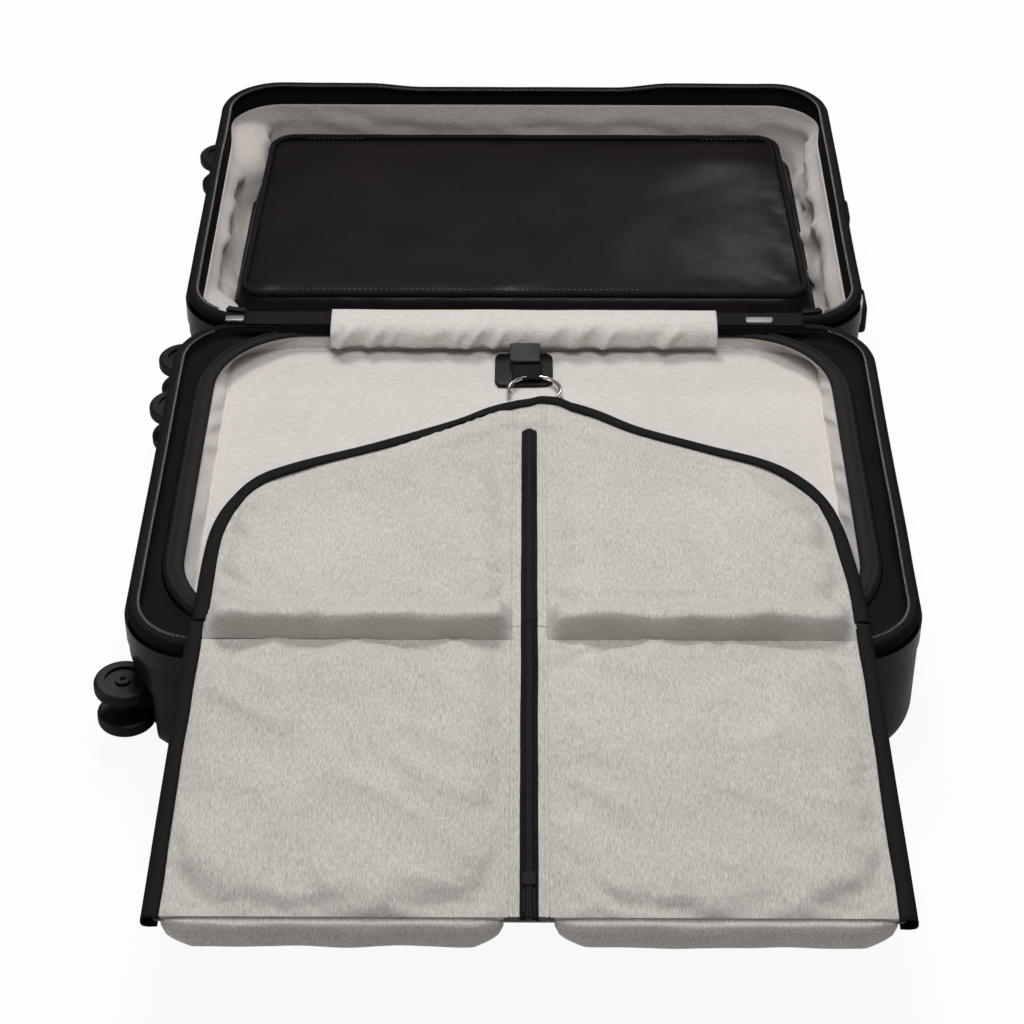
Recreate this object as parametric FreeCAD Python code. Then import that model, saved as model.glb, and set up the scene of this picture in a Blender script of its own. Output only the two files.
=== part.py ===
import FreeCAD, Part
import math
import os
from FreeCAD import Vector

# Hard-shell suitcase on four twin casters, open flat on its two backs, in millimetres.
# X runs along the case from its casters to its handles, Y from the near half to the far half.
# Pieces are drawn about the hinge line (y = 0, floor at z = 0) and moved to the part's origin at the end.
# Both halves are drawn on the +Y side, and the near half is the mirror image.

# Case
CASE_LENGTH = 650.0
HALF_WIDTH = 470.0
HALF_DEPTH = 140.0
CORNER_RADIUS = 62.0
FACE_RADIUS = 40.0
SHELL_WALL = 3.0
EDGE_DROP = 28.0
HINGE_GAP = 3.0
RIM_GAP = 1.0
SEAT = 0.2
GROOVE_COUNT = 7
GROOVE_PITCH = 46.0
GROOVE_WIDTH = 12.0
GROOVE_DEPTH = 1.2
GROOVE_MARGIN = 95.0
ROUND_END = 0.99

# Edge trim, zip tape and zip teeth of a rim
TRIM_DROP = 14.0
TRIM_LIP = 6.0
TRIM_PROUD = 1.2
TAPE_WALL = 2.5
TAPE_LAP = 14.0
TAPE_FLANGE = 8.0
FLANGE_THICKNESS = 2.5
CHAIN_WIDTH = 4.0
CHAIN_THICKNESS = 3.0
CHAIN_DROP = 0.5

# Zip sliders at the hinge corners
SLIDER_WIDTH = 6.0
SLIDER_HEIGHT = 5.4
SLIDER_SPAN = 22.0
SLIDER_TURN = 12.0
SLIDER_GAP = 0.3
PULL_LENGTH = 23.0
PULL_WIDTH = 9.0
PULL_THICKNESS = 1.6

# Hinge tape and its cover cloth
HINGE_TAPE_WIDTH = 18.0
HINGE_TAPE_THICKNESS = 1.0
FLAP_LENGTH = 362.0
FLAP_THICKNESS = 1.6
FLAP_FAR_REACH = 10.0
FLAP_FOLD = (-29.0, -3.0)
FLAP_HEM = (-33.0, -13.0)

# Linings
LINING_WALL = 2.0
COVER_GAP = 1.0
NEAR_LINING_DROP = 4.0
FAR_LINING_DROP = 25.0
FAR_LINING_RADIUS = 10.0

# Divider tray of the near half
TRAY_FLOOR_DROP = 30.0
TRAY_RIM_DROP = 10.0
TRAY_WALL = 2.0
TRAY_SIDE = 25.0
TRAY_HINGE = 14.0
TRAY_FRONT = 17.0
TRAY_RUN_SIDE = 26.0
TRAY_RUN_END = 18.0
TRAY_RADIUS = 50.0
TRAY_FLOOR_RADIUS = 36.0
BAND_THICKNESS = 2.0
BAND_INSIDE = 12.0

# Folding garment bag
SUITER_X = 5.0
SUITER_SIDE = 60.0
SUITER_BASE = 6.0
SUITER_LIFT = 0.6
FOLD_INSET = 18.0
FOLD_GAP = 0.8
COLLAR_SETBACK = 108.5
SHOULDER_DROP = 157.0
SHOULDER_RADIUS = 50.0
COLLAR_HALF = 30.0
COLLAR_RADIUS = 14.0
UPPER_PUFF = 18.0
LOWER_LENGTH = 318.0
LOWER_PUFF = 13.0
PUFF_INSET = 18.0
PUFF_FOLD_INSET = 8.0
PUFF_CORNER = 14.0
PUFF_ROUND = 8.0
BINDING_WIDTH = 17.0
BINDING_THICKNESS = 0.8
BAG_ZIP_WIDTH = 14.0
BAG_ZIP_THICKNESS = 1.2
BAG_ZIP_STOP = 53.0
BAG_ZIP_TAIL = 5.0
ZIP_VALLEY_HALF = 17.0
ZIP_VALLEY_STOP = 45.0
LIP_DROP = 18.0
LIP_THICKNESS = 14.0
BAG_SLIDER_LENGTH = 13.0
BAG_SLIDER_WIDTH = 9.0
BAG_SLIDER_HEIGHT = 3.5
BAG_SLIDER_INSET = 27.0
BAG_PULLER_LENGTH = 22.0
BAG_PULLER_WIDTH = 8.0
BAG_PULLER_THICKNESS = 1.5
BAG_PULLER_GAP = 1.9

# Hanger, its patch and its strap
WIRE_RADIUS = 1.9
HOOK_RADIUS = 24.0
HOOK_X = 5.0
HOOK_RISE = 25.0
HOOK_START_DEG = -35.0
HOOK_END_DEG = 195.0
NECK_DROP = 9.0
ARM_THICKNESS = 8.0
ARM_SIDE = 75.0
ARM_TIP_DROP = 142.0
ARM_TIP_DEPTH = 14.0
ARM_CROWN_DROP = 25.0
ARM_CROWN_DEPTH = 16.0
ARM_CROWN_HALF = 24.0
ARM_ROOM = 1.0
PATCH_HALF = 27.0
PATCH_NEAR = 76.0
PATCH_FAR = 35.5
PATCH_THICKNESS = 2.0
PATCH_RADIUS = 8.0
STRAP_HALF = 13.0
STRAP_THICKNESS = 1.6
STRAP_ROOT = 39.0
STRAP_END = 72.0
STRAP_ROOM = 0.8

# Pocket in the far half
POCKET_SIDE = 49.0
POCKET_FRONT = 126.0
POCKET_BACK = 22.0
POCKET_DROP = 58.0
POCKET_RADIUS = 30.0
POCKET_ROUND = 12.0

# Casters
CASTER_INSET = 50.0
CASTER_HEIGHT = 48.0
POD_RADIUS = 46.2
POD_DEPTH = 26.0
POD_WALL = 2.0
POD_PLATE = 3.0
BOSS_RADIUS = 9.0
BOSS_LENGTH = 14.0
STEM_RADIUS = 4.0
RUN_FIT = 0.06
TURNTABLE_RADIUS = 16.0
TURNTABLE_THICKNESS = 2.6
TURNTABLE_GAP = 0.3
WHEEL_RADIUS = 24.5
WHEEL_WIDTH = 12.0
WHEEL_SPACING = 33.0
WHEEL_OVERHANG = 5.0
WHEEL_ROUND = 3.5
WHEEL_GAP = 0.8
DISH_RADIUS = 15.5
DISH_DEPTH = 2.5
HUB_RADIUS = 6.5
TRAIL = 12.0
AXLE_RADIUS = 2.5
AXLE_INSET = 1.0
AXLE_BOSS = 8.5
WEB_HALF = 11.2

# Telescopic handle in the far half
TUBE_HEIGHT = 18.0
TUBE_SPACING = 190.0
TUBE_RADIUS = 9.2
TUBE_WALL = 0.9
TUBE_FIT = 0.1
TUBE_START = 64.0
TUBE_STEP = 6.0
MID_PROUD = 0.4
GRIP_LENGTH = 236.0
GRIP_HEIGHT = 22.0
GRIP_DEPTH = 38.0
GRIP_BAR = 12.0
GRIP_LEG = 7.0
GRIP_PROUD = 5.0
GRIP_FIT = 0.8
GRIP_REST = 1.0
HOUSING_WALL = 2.2
BUTTON_LENGTH = 32.0
BUTTON_HEIGHT = 9.0
BUTTON_DEPTH = 6.0
BUTTON_PROUD = 1.0
BUTTON_TRAVEL = 3.0
BUTTON_FIT = 0.3
BUTTON_RADIUS = 4.0
FOOT_LENGTH = 16.0
FOOT_SOCKET = 10.0
FOOT_EDGE = 5.0
FOOT_COVER = 3.0

# Carry handles
HANDLE_SPAN = 214.0
CAP_LENGTH = 40.0
CAP_HEIGHT = 34.0
CAP_DEPTH = 18.0
CAP_FLOOR = 2.0
CAP_END = 10.0
CAP_RADIUS = 8.0
CAP_ROUND = 4.0
TONGUE_THICKNESS = 4.0
TONGUE_HEIGHT = 24.0
TONGUE_GAP = 2.0
STRAP_FIT = 0.3
BAR_HEIGHT = 26.0
BAR_THICKNESS = 10.0
BAR_GAP = 2.0
BAR_ROUND = 4.0
BAR_CORNER = 10.4
HANDLE_TRAVEL = 9.0
SIDE_HANDLE_HEIGHT = 70.0
TOP_HANDLE_HEIGHT = 54.0
SCREW_RADIUS = 1.75
SCREW_LENGTH = 8.0
SCREW_HEAD_RADIUS = 3.5
SCREW_HEAD = 2.2
SCREW_SPACING = 18.0

# Places worked out from the sizes
HALF_X = CASE_LENGTH / 2
Y_IN = HINGE_GAP / 2
Y_OUT = Y_IN + HALF_WIDTH
Y_MID = (Y_IN + Y_OUT) / 2
HINGE_Z = HALF_DEPTH + RIM_GAP / 2
SHELL_EDGE = HALF_DEPTH - EDGE_DROP
TRIM_TOP = HALF_DEPTH - TRIM_DROP
NEAR_LINING_TOP = HALF_DEPTH - NEAR_LINING_DROP
FAR_LINING_TOP = HALF_DEPTH - FAR_LINING_DROP
TRAY_FLOOR = HALF_DEPTH - TRAY_FLOOR_DROP
TRAY_RIM = HALF_DEPTH - TRAY_RIM_DROP
POCKET_TOP = HALF_DEPTH - POCKET_DROP
TAPE_INSET = SHELL_WALL + SEAT
LINING_INSET = TAPE_INSET + TAPE_WALL + SEAT
CHAIN_INSET = TAPE_FLANGE + CHAIN_WIDTH
CORNER_X = HALF_X - CORNER_RADIUS
CORNER_Y = Y_IN + CORNER_RADIUS
GRIP_BACK = HALF_X - GRIP_DEPTH
HOUSING_BACK = GRIP_BACK - GRIP_REST
HOUSING_HALF_HEIGHT = GRIP_HEIGHT / 2 + GRIP_FIT + HOUSING_WALL
FAR_LINING_FLOOR = TUBE_HEIGHT + HOUSING_HALF_HEIGHT + SEAT
POD_FACE = -HALF_X + POD_DEPTH - POD_PLATE
WHEEL_X = -HALF_X - WHEEL_OVERHANG
FOLD_Y = -(Y_OUT - FOLD_INSET)
SUITER_HALF = HALF_X - SUITER_SIDE
UPPER_LENGTH = Y_OUT - FOLD_INSET - COLLAR_SETBACK
SHOULDER = UPPER_LENGTH - SHOULDER_DROP
BAG_ZIP_TOP = UPPER_LENGTH - BAG_ZIP_STOP
ZIP_VALLEY_END = UPPER_LENGTH - ZIP_VALLEY_STOP
HOOK_CENTRE = UPPER_LENGTH + HOOK_RISE
NECK_START = UPPER_LENGTH - NECK_DROP
ARM_REACH = SUITER_HALF - ARM_SIDE
ARM_TIP_HIGH = UPPER_LENGTH - ARM_TIP_DROP
ARM_TIP_LOW = ARM_TIP_HIGH - ARM_TIP_DEPTH
ARM_CROWN_HIGH = UPPER_LENGTH - ARM_CROWN_DROP
ARM_CROWN_LOW = ARM_CROWN_HIGH - ARM_CROWN_DEPTH
POCKET_HALF = HALF_X - POCKET_SIDE
SUITER_BOTTOM = HALF_DEPTH + SUITER_LIFT
SUITER_TOP = SUITER_BOTTOM + SUITER_BASE
FOLD_Z = SUITER_TOP + (UPPER_PUFF + LOWER_PUFF) / 2 + FOLD_GAP
SUITER_SLOPE = math.degrees(math.asin((SUITER_BOTTOM - TRAY_FLOOR - SEAT) / UPPER_LENGTH))
SUITER_END = FOLD_Y - LOWER_LENGTH
ARM_Z = SUITER_TOP + SEAT
WIRE_Z = ARM_Z + ARM_THICKNESS / 2
MID_TUBE_RADIUS = TUBE_RADIUS - TUBE_WALL - TUBE_FIT
INNER_TUBE_RADIUS = MID_TUBE_RADIUS - TUBE_WALL - TUBE_FIT

# The part's origin is the bottom centre of its box
REACH_LOW_X = WHEEL_X - WHEEL_RADIUS
REACH_HIGH_X = HALF_X + max(CAP_DEPTH, GRIP_PROUD + BUTTON_PROUD)
REACH_LOW_Y = SUITER_END - BAG_ZIP_TAIL
REACH_HIGH_Y = Y_OUT + CAP_DEPTH
ORIGIN = Vector((REACH_LOW_X + REACH_HIGH_X) / 2, (REACH_LOW_Y + REACH_HIGH_Y) / 2, 0)


# Shared shapes


def rounded_wire(points, radii, z):
    """Closed wire at height z through the points, each corner rounded by its radius."""
    edges = []
    last = None
    first = None
    for i, (x, y) in enumerate(points):
        corner = Vector(x, y, z)
        before = (Vector(points[i - 1][0], points[i - 1][1], z) - corner).normalize()
        following = points[(i + 1) % len(points)]
        after = (Vector(following[0], following[1], z) - corner).normalize()
        half = before.getAngle(after) / 2
        start = corner + before * (radii[i] / math.tan(half))
        end = corner + after * (radii[i] / math.tan(half))
        if last is not None and (start - last).Length > 1e-6:
            edges.append(Part.LineSegment(last, start).toShape())
        if radii[i] > 0:
            bisector = (before + after).normalize()
            middle = corner + bisector * (radii[i] / math.sin(half) - radii[i])
            edges.append(Part.Arc(start, middle, end).toShape())
        first = start if first is None else first
        last = end
    if (first - last).Length > 1e-6:
        edges.append(Part.LineSegment(last, first).toShape())
    return Part.Wire(edges)


def plate(points, radii, z0, z1):
    """Flat plate with rounded corners between two heights."""
    return Part.Face(rounded_wire(points, radii, z0)).extrude(Vector(0, 0, z1 - z0))


def rectangle(x0, x1, y0, y1):
    """Corners of a rectangle, counter-clockwise from the lower left."""
    return [(x0, y0), (x1, y0), (x1, y1), (x0, y1)]


def block(x0, x1, y0, y1, z0, z1, radius=0.0):
    """Box with rounded upright edges."""
    return plate(rectangle(x0, x1, y0, y1), [radius] * 4, z0, z1)


def rod(radius, start, end):
    """Round bar between two points."""
    return Part.makeCylinder(radius, (end - start).Length, start, end - start)


def x_rod(radius, x0, x1, y, z):
    """Round bar along X."""
    return rod(radius, Vector(x0, y, z), Vector(x1, y, z))


def round_level(shape, z, radius):
    """Rounds the edges that lie at one height."""
    edges = [e for e in shape.Edges if abs(e.BoundBox.ZMin - z) < 1e-5 and abs(e.BoundBox.ZMax - z) < 1e-5]
    return shape.makeFillet(radius, edges)


def inset_polygon(points, insets):
    """Polygon with edge i (from point i to the next) moved inwards by insets[i]."""
    lines = []
    for i, (x, y) in enumerate(points):
        following = points[(i + 1) % len(points)]
        along = Vector(following[0] - x, following[1] - y, 0).normalize()
        inward = Vector(-along.y, along.x, 0)
        lines.append((Vector(x, y, 0) + inward * insets[i], along))
    corners = []
    for i, (base, along) in enumerate(lines):
        other, other_along = lines[i - 1]
        cross = other_along.x * along.y - other_along.y * along.x
        gap = base - other
        step = (gap.x * along.y - gap.y * along.x) / cross
        corner = other + other_along * step
        corners.append((corner.x, corner.y))
    return corners


def strip_section(path, thickness):
    """Closed outline in the YZ plane that lies under a path by a thickness."""
    under = []
    for i, (y, z) in enumerate(path):
        before = path[max(i - 1, 0)]
        after = path[min(i + 1, len(path) - 1)]
        run = Vector(0, after[0] - before[0], after[1] - before[1]).normalize()
        normal = Vector(0, -run.z, run.y)
        under.append(Vector(0, y, z) + normal * thickness)
    top = [Vector(0, y, z) for y, z in path]
    return Part.makePolygon(top + under[::-1] + top[:1])


def near(shape):
    """Mirror image across the hinge plane."""
    return shape.mirror(Vector(0, 0, 0), Vector(0, 1, 0))


def half_plate(inset, z0, z1):
    """Plate with a half's outline, moved inwards by an inset."""
    radius = CORNER_RADIUS - inset
    return block(-HALF_X + inset, HALF_X - inset, Y_IN + inset, Y_OUT - inset, z0, z1, radius)


def half_ring(outer_inset, inner_inset, z0, z1):
    """Ring along a half's outline."""
    return half_plate(outer_inset, z0, z1).cut(half_plate(inner_inset, z0, z1))


# Shells and rims


def caster_spots():
    """Y of each caster of a half, and the way its wheels trail, towards the nearer side wall."""
    return [("inner", Y_IN + CASTER_INSET, -1), ("outer", Y_OUT - CASTER_INSET, 1)]


def shell_block(proud=0.0):
    """A half's outer shape as a full block, grown outwards by an amount."""
    return round_level(half_plate(-proud, -proud, SHELL_EDGE), -proud, FACE_RADIUS + proud)


def half_shell():
    """Hard shell with caster holes and shallow grooves on its face."""
    hollow = half_plate(SHELL_WALL, SHELL_WALL, SHELL_EDGE)
    shell = shell_block().cut(round_level(hollow, SHELL_WALL, FACE_RADIUS - SHELL_WALL))
    for _, y, _ in caster_spots():
        shell = shell.cut(x_rod(POD_RADIUS, -HALF_X - POD_DEPTH, -HALF_X + POD_DEPTH, y, CASTER_HEIGHT))
    for i in range(GROOVE_COUNT):
        y = Y_MID + (i - (GROOVE_COUNT - 1) / 2) * GROOVE_PITCH
        half = GROOVE_WIDTH / 2
        end = HALF_X - GROOVE_MARGIN
        shell = shell.cut(block(-end, end, y - half, y + half, 0, GROOVE_DEPTH, half * ROUND_END))
    return shell


def edge_trim():
    """Strip over the shell's edge, with a lip down its outside."""
    strip = half_ring(-TRIM_PROUD, SHELL_WALL, SHELL_EDGE, TRIM_TOP)
    return strip.fuse(half_ring(-TRIM_PROUD, -SEAT, SHELL_EDGE - TRIM_LIP, SHELL_EDGE)).removeSplitter()


def zip_tape():
    """Tape that stands inside the shell's edge, with a flange along the rim."""
    wall = half_ring(TAPE_INSET, TAPE_INSET + TAPE_WALL, SHELL_EDGE - TAPE_LAP, HALF_DEPTH)
    flange = half_ring(TAPE_INSET, TAPE_FLANGE, HALF_DEPTH - FLANGE_THICKNESS, HALF_DEPTH)
    return wall.fuse(flange).removeSplitter()


def zip_chain():
    """Teeth along three sides of the rim, up to the hinge corners."""
    top = HALF_DEPTH - CHAIN_DROP
    chain = half_ring(TAPE_FLANGE, CHAIN_INSET, top - CHAIN_THICKNESS, top)
    return chain.cut(block(-CORNER_X, CORNER_X, 0, CORNER_Y, top - CHAIN_THICKNESS, top))


def lining(floor, top, radius):
    """Fabric tub with a bulge over each caster cup."""
    outer = round_level(half_plate(LINING_INSET, floor, top), floor, radius)
    inset = LINING_INSET + LINING_WALL
    inner = half_plate(inset, floor + LINING_WALL, top)
    inner = round_level(inner, floor + LINING_WALL, radius - LINING_WALL)
    hollow_end = -HALF_X + POD_DEPTH + BOSS_LENGTH + COVER_GAP
    hollow_radius = POD_RADIUS + COVER_GAP
    for _, y, _ in caster_spots():
        bulge_radius = hollow_radius + LINING_WALL
        inner = inner.cut(x_rod(bulge_radius, -HALF_X, hollow_end + LINING_WALL, y, CASTER_HEIGHT))
    tub = outer.cut(inner)
    for _, y, _ in caster_spots():
        tub = tub.cut(x_rod(hollow_radius, -HALF_X, hollow_end, y, CASTER_HEIGHT))
    return tub


# Main zip sliders


def corner_turn(shape, side, degrees):
    """Turns a piece drawn along +X about a hinge corner's centre and moves it there."""
    placed = shape.copy()
    placed.rotate(Vector(0, 0, 0), Vector(0, 0, 1), degrees)
    placed.translate(Vector(side * CORNER_X, CORNER_Y, 0))
    return placed


def main_zip_slider(side):
    """Slider that runs along the inner edge of the teeth round a hinge corner."""
    outer = CORNER_RADIUS - CHAIN_INSET - SLIDER_GAP
    top = HALF_DEPTH - SEAT
    base = Vector(0, 0, top - SLIDER_HEIGHT)
    up = Vector(0, 0, 1)
    body = Part.makeCylinder(outer, SLIDER_HEIGHT, base, up, SLIDER_SPAN)
    body = body.cut(Part.makeCylinder(outer - SLIDER_WIDTH, SLIDER_HEIGHT, base, up))
    return corner_turn(body, side, -90 + side * SLIDER_TURN - SLIDER_SPAN / 2)


def main_zip_pull(side):
    """Flat tab that hangs from a main slider towards the inside."""
    outer = CORNER_RADIUS - CHAIN_INSET - SLIDER_GAP - SLIDER_WIDTH - SEAT
    half = PULL_WIDTH / 2
    low = HALF_DEPTH - SEAT - (SLIDER_HEIGHT + PULL_THICKNESS) / 2
    tab = block(outer - PULL_LENGTH, outer, -half, half, low, low + PULL_THICKNESS, half / 2)
    return corner_turn(tab, side, -90 + side * SLIDER_TURN)


# Hinge


def hinge_tape():
    """Webbing that lies over both rims along the hinge."""
    half = HINGE_TAPE_WIDTH / 2
    low = HALF_DEPTH + SEAT / 2
    return block(-CORNER_X, CORNER_X, -half, half, low, low + HINGE_TAPE_THICKNESS)


def hinge_flap():
    """Cloth over the hinge that hangs into the tray."""
    top = HALF_DEPTH + SEAT + HINGE_TAPE_THICKNESS + FLAP_THICKNESS + SEAT
    path = [
        (FLAP_FAR_REACH, top),
        (-FLAP_FAR_REACH, top),
        (FLAP_FOLD[0], HALF_DEPTH + FLAP_FOLD[1]),
        (FLAP_HEM[0], HALF_DEPTH + FLAP_HEM[1]),
    ]
    section = Part.Face(strip_section(path, FLAP_THICKNESS))
    section.translate(Vector(-FLAP_LENGTH / 2, 0, 0))
    return section.extrude(Vector(FLAP_LENGTH, 0, 0))


# Divider tray, drawn on the +Y side


def tray_rectangle(side, end, grow):
    """Rectangle of the tray at a run from its rim, grown outwards."""
    x = HALF_X - TRAY_SIDE - side + grow
    return rectangle(-x, x, Y_IN + TRAY_HINGE + end - grow, Y_OUT - TRAY_FRONT - end + grow)


def tray_loft(grow, floor):
    """Solid between the tray's floor outline and its rim outline."""
    low = rounded_wire(tray_rectangle(TRAY_RUN_SIDE, TRAY_RUN_END, grow), [TRAY_FLOOR_RADIUS] * 4, floor)
    high = rounded_wire(tray_rectangle(0, 0, grow), [TRAY_RADIUS] * 4, TRAY_RIM)
    return Part.makeLoft([low, high], True, True)


def tray_panel():
    """Shallow tray with sloping walls."""
    return tray_loft(0, TRAY_FLOOR - TRAY_WALL).cut(tray_loft(-TRAY_WALL, TRAY_FLOOR))


def tray_zip_band():
    """Black band from the lining's wall over the tray's rim."""
    low = TRAY_RIM + SEAT
    ring = half_plate(LINING_INSET + LINING_WALL + SEAT, low, low + BAND_THICKNESS)
    opening = tray_rectangle(0, 0, -BAND_INSIDE)
    return ring.cut(plate(opening, [TRAY_RADIUS - BAND_INSIDE] * 4, low, low + BAND_THICKNESS))


# Garment bag, drawn level about its fold with y = 0 there, then laid in place


def lay_bag(shape):
    """Moves a level bag piece to the fold line."""
    placed = shape.copy()
    placed.translate(Vector(SUITER_X, FOLD_Y, 0))
    return placed


def slope_bag(shape):
    """Lays an upper piece in place, with its collar end down on the tray's floor."""
    placed = lay_bag(shape)
    placed.rotate(Vector(0, FOLD_Y, SUITER_BOTTOM), Vector(1, 0, 0), -SUITER_SLOPE)
    return placed


def upper_outline():
    """Upper section from the fold over the shoulders to the collar."""
    fold = FOLD_GAP / 2
    return [
        (-SUITER_HALF, fold),
        (SUITER_HALF, fold),
        (SUITER_HALF, SHOULDER),
        (COLLAR_HALF, UPPER_LENGTH),
        (-COLLAR_HALF, UPPER_LENGTH),
        (-SUITER_HALF, SHOULDER),
    ]


def upper_radii(inset):
    """Corner radii of the upper outline at an inset."""
    shoulder = SHOULDER_RADIUS - inset
    collar = max(COLLAR_RADIUS - inset, COLLAR_RADIUS / 2)
    return [0, 0, shoulder, collar, collar, shoulder]


def arm_outline(room):
    """Outline of the hanger's arms, grown by some room."""
    return [
        (ARM_REACH + room, ARM_TIP_LOW - room),
        (ARM_REACH + room, ARM_TIP_HIGH + room),
        (ARM_CROWN_HALF, ARM_CROWN_HIGH + room),
        (-ARM_CROWN_HALF, ARM_CROWN_HIGH + room),
        (-ARM_REACH - room, ARM_TIP_HIGH + room),
        (-ARM_REACH - room, ARM_TIP_LOW - room),
        (-ARM_CROWN_HALF, ARM_CROWN_LOW - room),
        (ARM_CROWN_HALF, ARM_CROWN_LOW - room),
    ]


def zip_valley(low, high):
    """Space between the two puffed sides, where the zip lies."""
    half = ZIP_VALLEY_HALF
    corners = rectangle(-half, half, -PUFF_FOLD_INSET, ZIP_VALLEY_END)
    return plate(corners, [0, 0, half * ROUND_END, half * ROUND_END], low, high)


def suiter_upper():
    """Upper section: flat base with puffed sides, hollow where the hanger lies."""
    outline = upper_outline()
    base = plate(outline, upper_radii(0), SUITER_BOTTOM, SUITER_TOP)
    top = SUITER_TOP + UPPER_PUFF
    insets = [PUFF_FOLD_INSET] + [PUFF_INSET] * 5
    puff = plate(inset_polygon(outline, insets), upper_radii(PUFF_INSET), SUITER_TOP, top)
    puff = round_level(puff.cut(zip_valley(SUITER_TOP, top)), top, PUFF_ROUND)
    room = plate(arm_outline(ARM_ROOM), [0] * 8, ARM_Z, ARM_Z + ARM_THICKNESS + ARM_ROOM)
    neck = rod(
        WIRE_RADIUS + ARM_ROOM / 2,
        Vector(neck_x(), ARM_CROWN_HIGH, WIRE_Z),
        Vector(neck_x(), UPPER_LENGTH, WIRE_Z),
    )
    return slope_bag(base.fuse(puff).cut(room).cut(neck))


def suiter_lower():
    """Lower section with two puffed sides and a hanging lip at its end."""
    fold = -FOLD_GAP / 2
    body = block(-SUITER_HALF, SUITER_HALF, -LOWER_LENGTH, fold, SUITER_BOTTOM, SUITER_TOP)
    outer = SUITER_HALF - PUFF_INSET
    top = SUITER_TOP + LOWER_PUFF
    for side in (-1, 1):
        x0, x1 = sorted((side * ZIP_VALLEY_HALF, side * outer))
        y0, y1 = -LOWER_LENGTH + PUFF_FOLD_INSET, -PUFF_FOLD_INSET
        body = body.fuse(round_level(block(x0, x1, y0, y1, SUITER_TOP, top, PUFF_CORNER), top, PUFF_ROUND))
        low = HALF_DEPTH - LIP_DROP
        lip_end = -LOWER_LENGTH + LIP_THICKNESS
        body = body.fuse(block(x0, x1, -LOWER_LENGTH, lip_end, low, SUITER_BOTTOM))
    return lay_bag(body.removeSplitter())


def suiter_upper_binding():
    """Tape round the upper section's sides, shoulders and collar."""
    outline = upper_outline()
    top = SUITER_TOP + BINDING_THICKNESS
    inner = inset_polygon(outline, [0] + [BINDING_WIDTH] * 5)
    tape = plate(outline, upper_radii(0), SUITER_TOP, top)
    return slope_bag(tape.cut(plate(inner, upper_radii(BINDING_WIDTH), SUITER_TOP, top)))


def suiter_lower_binding():
    """Tape along both sides of the lower section."""
    top = SUITER_TOP + BINDING_THICKNESS
    inner = SUITER_HALF - BINDING_WIDTH
    fold = -FOLD_GAP / 2
    strips = [
        block(-SUITER_HALF, -inner, -LOWER_LENGTH, fold, SUITER_TOP, top),
        block(inner, SUITER_HALF, -LOWER_LENGTH, fold, SUITER_TOP, top),
    ]
    return lay_bag(Part.makeCompound(strips))


def bag_zip(start, end):
    """Zip strip on the bag between two distances from the fold."""
    half = BAG_ZIP_WIDTH / 2
    return block(-half, half, start, end, SUITER_TOP, SUITER_TOP + BAG_ZIP_THICKNESS)


def suiter_zip_slider():
    """Slider on the lower zip, near the bag's end."""
    half = BAG_SLIDER_WIDTH / 2
    y = -LOWER_LENGTH + BAG_SLIDER_INSET
    low = SUITER_TOP + BAG_ZIP_THICKNESS + SEAT
    return lay_bag(block(-half, half, y, y + BAG_SLIDER_LENGTH, low, low + BAG_SLIDER_HEIGHT, half / 2))


def suiter_zip_puller():
    """Pull tab that lies on the zip behind its slider."""
    half = BAG_PULLER_WIDTH / 2
    end = -LOWER_LENGTH + BAG_SLIDER_INSET - BAG_PULLER_GAP
    low = SUITER_TOP + BAG_ZIP_THICKNESS + SEAT
    return lay_bag(block(-half, half, end - BAG_PULLER_LENGTH, end, low, low + BAG_PULLER_THICKNESS, half / 2))


# Hanger, patch and strap


def hook_point(degrees):
    """Point on the hook's circle, in the bag's level frame."""
    angle = math.radians(degrees)
    return Vector(HOOK_X + HOOK_RADIUS * math.cos(angle), HOOK_CENTRE + HOOK_RADIUS * math.sin(angle), WIRE_Z)


def neck_x():
    """X of the straight neck, from which one arc meets the hook's circle smoothly."""
    turn = math.radians(-HOOK_START_DEG)
    start = hook_point(HOOK_START_DEG)
    return start.x - (start.y - NECK_START) * math.tan(turn / 2)


def hanger():
    """Hook of round wire on a flat pair of arms."""
    turn = math.radians(-HOOK_START_DEG)
    start = hook_point(HOOK_START_DEG)
    bend = (start.y - NECK_START) / math.sin(turn)
    foot = Vector(neck_x(), ARM_CROWN_HIGH, WIRE_Z)
    neck = Vector(neck_x(), NECK_START, WIRE_Z)
    middle = neck + Vector(bend * (1 - math.cos(turn / 2)), bend * math.sin(turn / 2), 0)
    crown = hook_point((HOOK_START_DEG + HOOK_END_DEG) / 2)
    path = Part.Wire(
        [
            Part.LineSegment(foot, neck).toShape(),
            Part.Arc(neck, middle, start).toShape(),
            Part.Arc(start, crown, hook_point(HOOK_END_DEG)).toShape(),
        ]
    )
    profile = Part.Wire([Part.makeCircle(WIRE_RADIUS, foot, Vector(0, 1, 0))])
    wire = path.makePipeShell([profile], True, False)
    arms = plate(arm_outline(0), [0] * 8, ARM_Z + SEAT, ARM_Z + ARM_THICKNESS)
    return slope_bag(arms.fuse(wire))


def hook_top():
    """Highest z of the hook's crown once the bag is laid in place."""
    slope = math.radians(SUITER_SLOPE)
    level = WIRE_Z - SUITER_BOTTOM
    crown = HOOK_CENTRE + HOOK_RADIUS
    return SUITER_BOTTOM + level * math.cos(slope) - crown * math.sin(slope) + WIRE_RADIUS


def hanger_patch():
    """Rounded patch sewn on the tray's floor."""
    low = TRAY_FLOOR + SEAT
    return block(-PATCH_HALF, PATCH_HALF, -PATCH_NEAR, -PATCH_FAR, low, low + PATCH_THICKNESS, PATCH_RADIUS)


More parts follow.
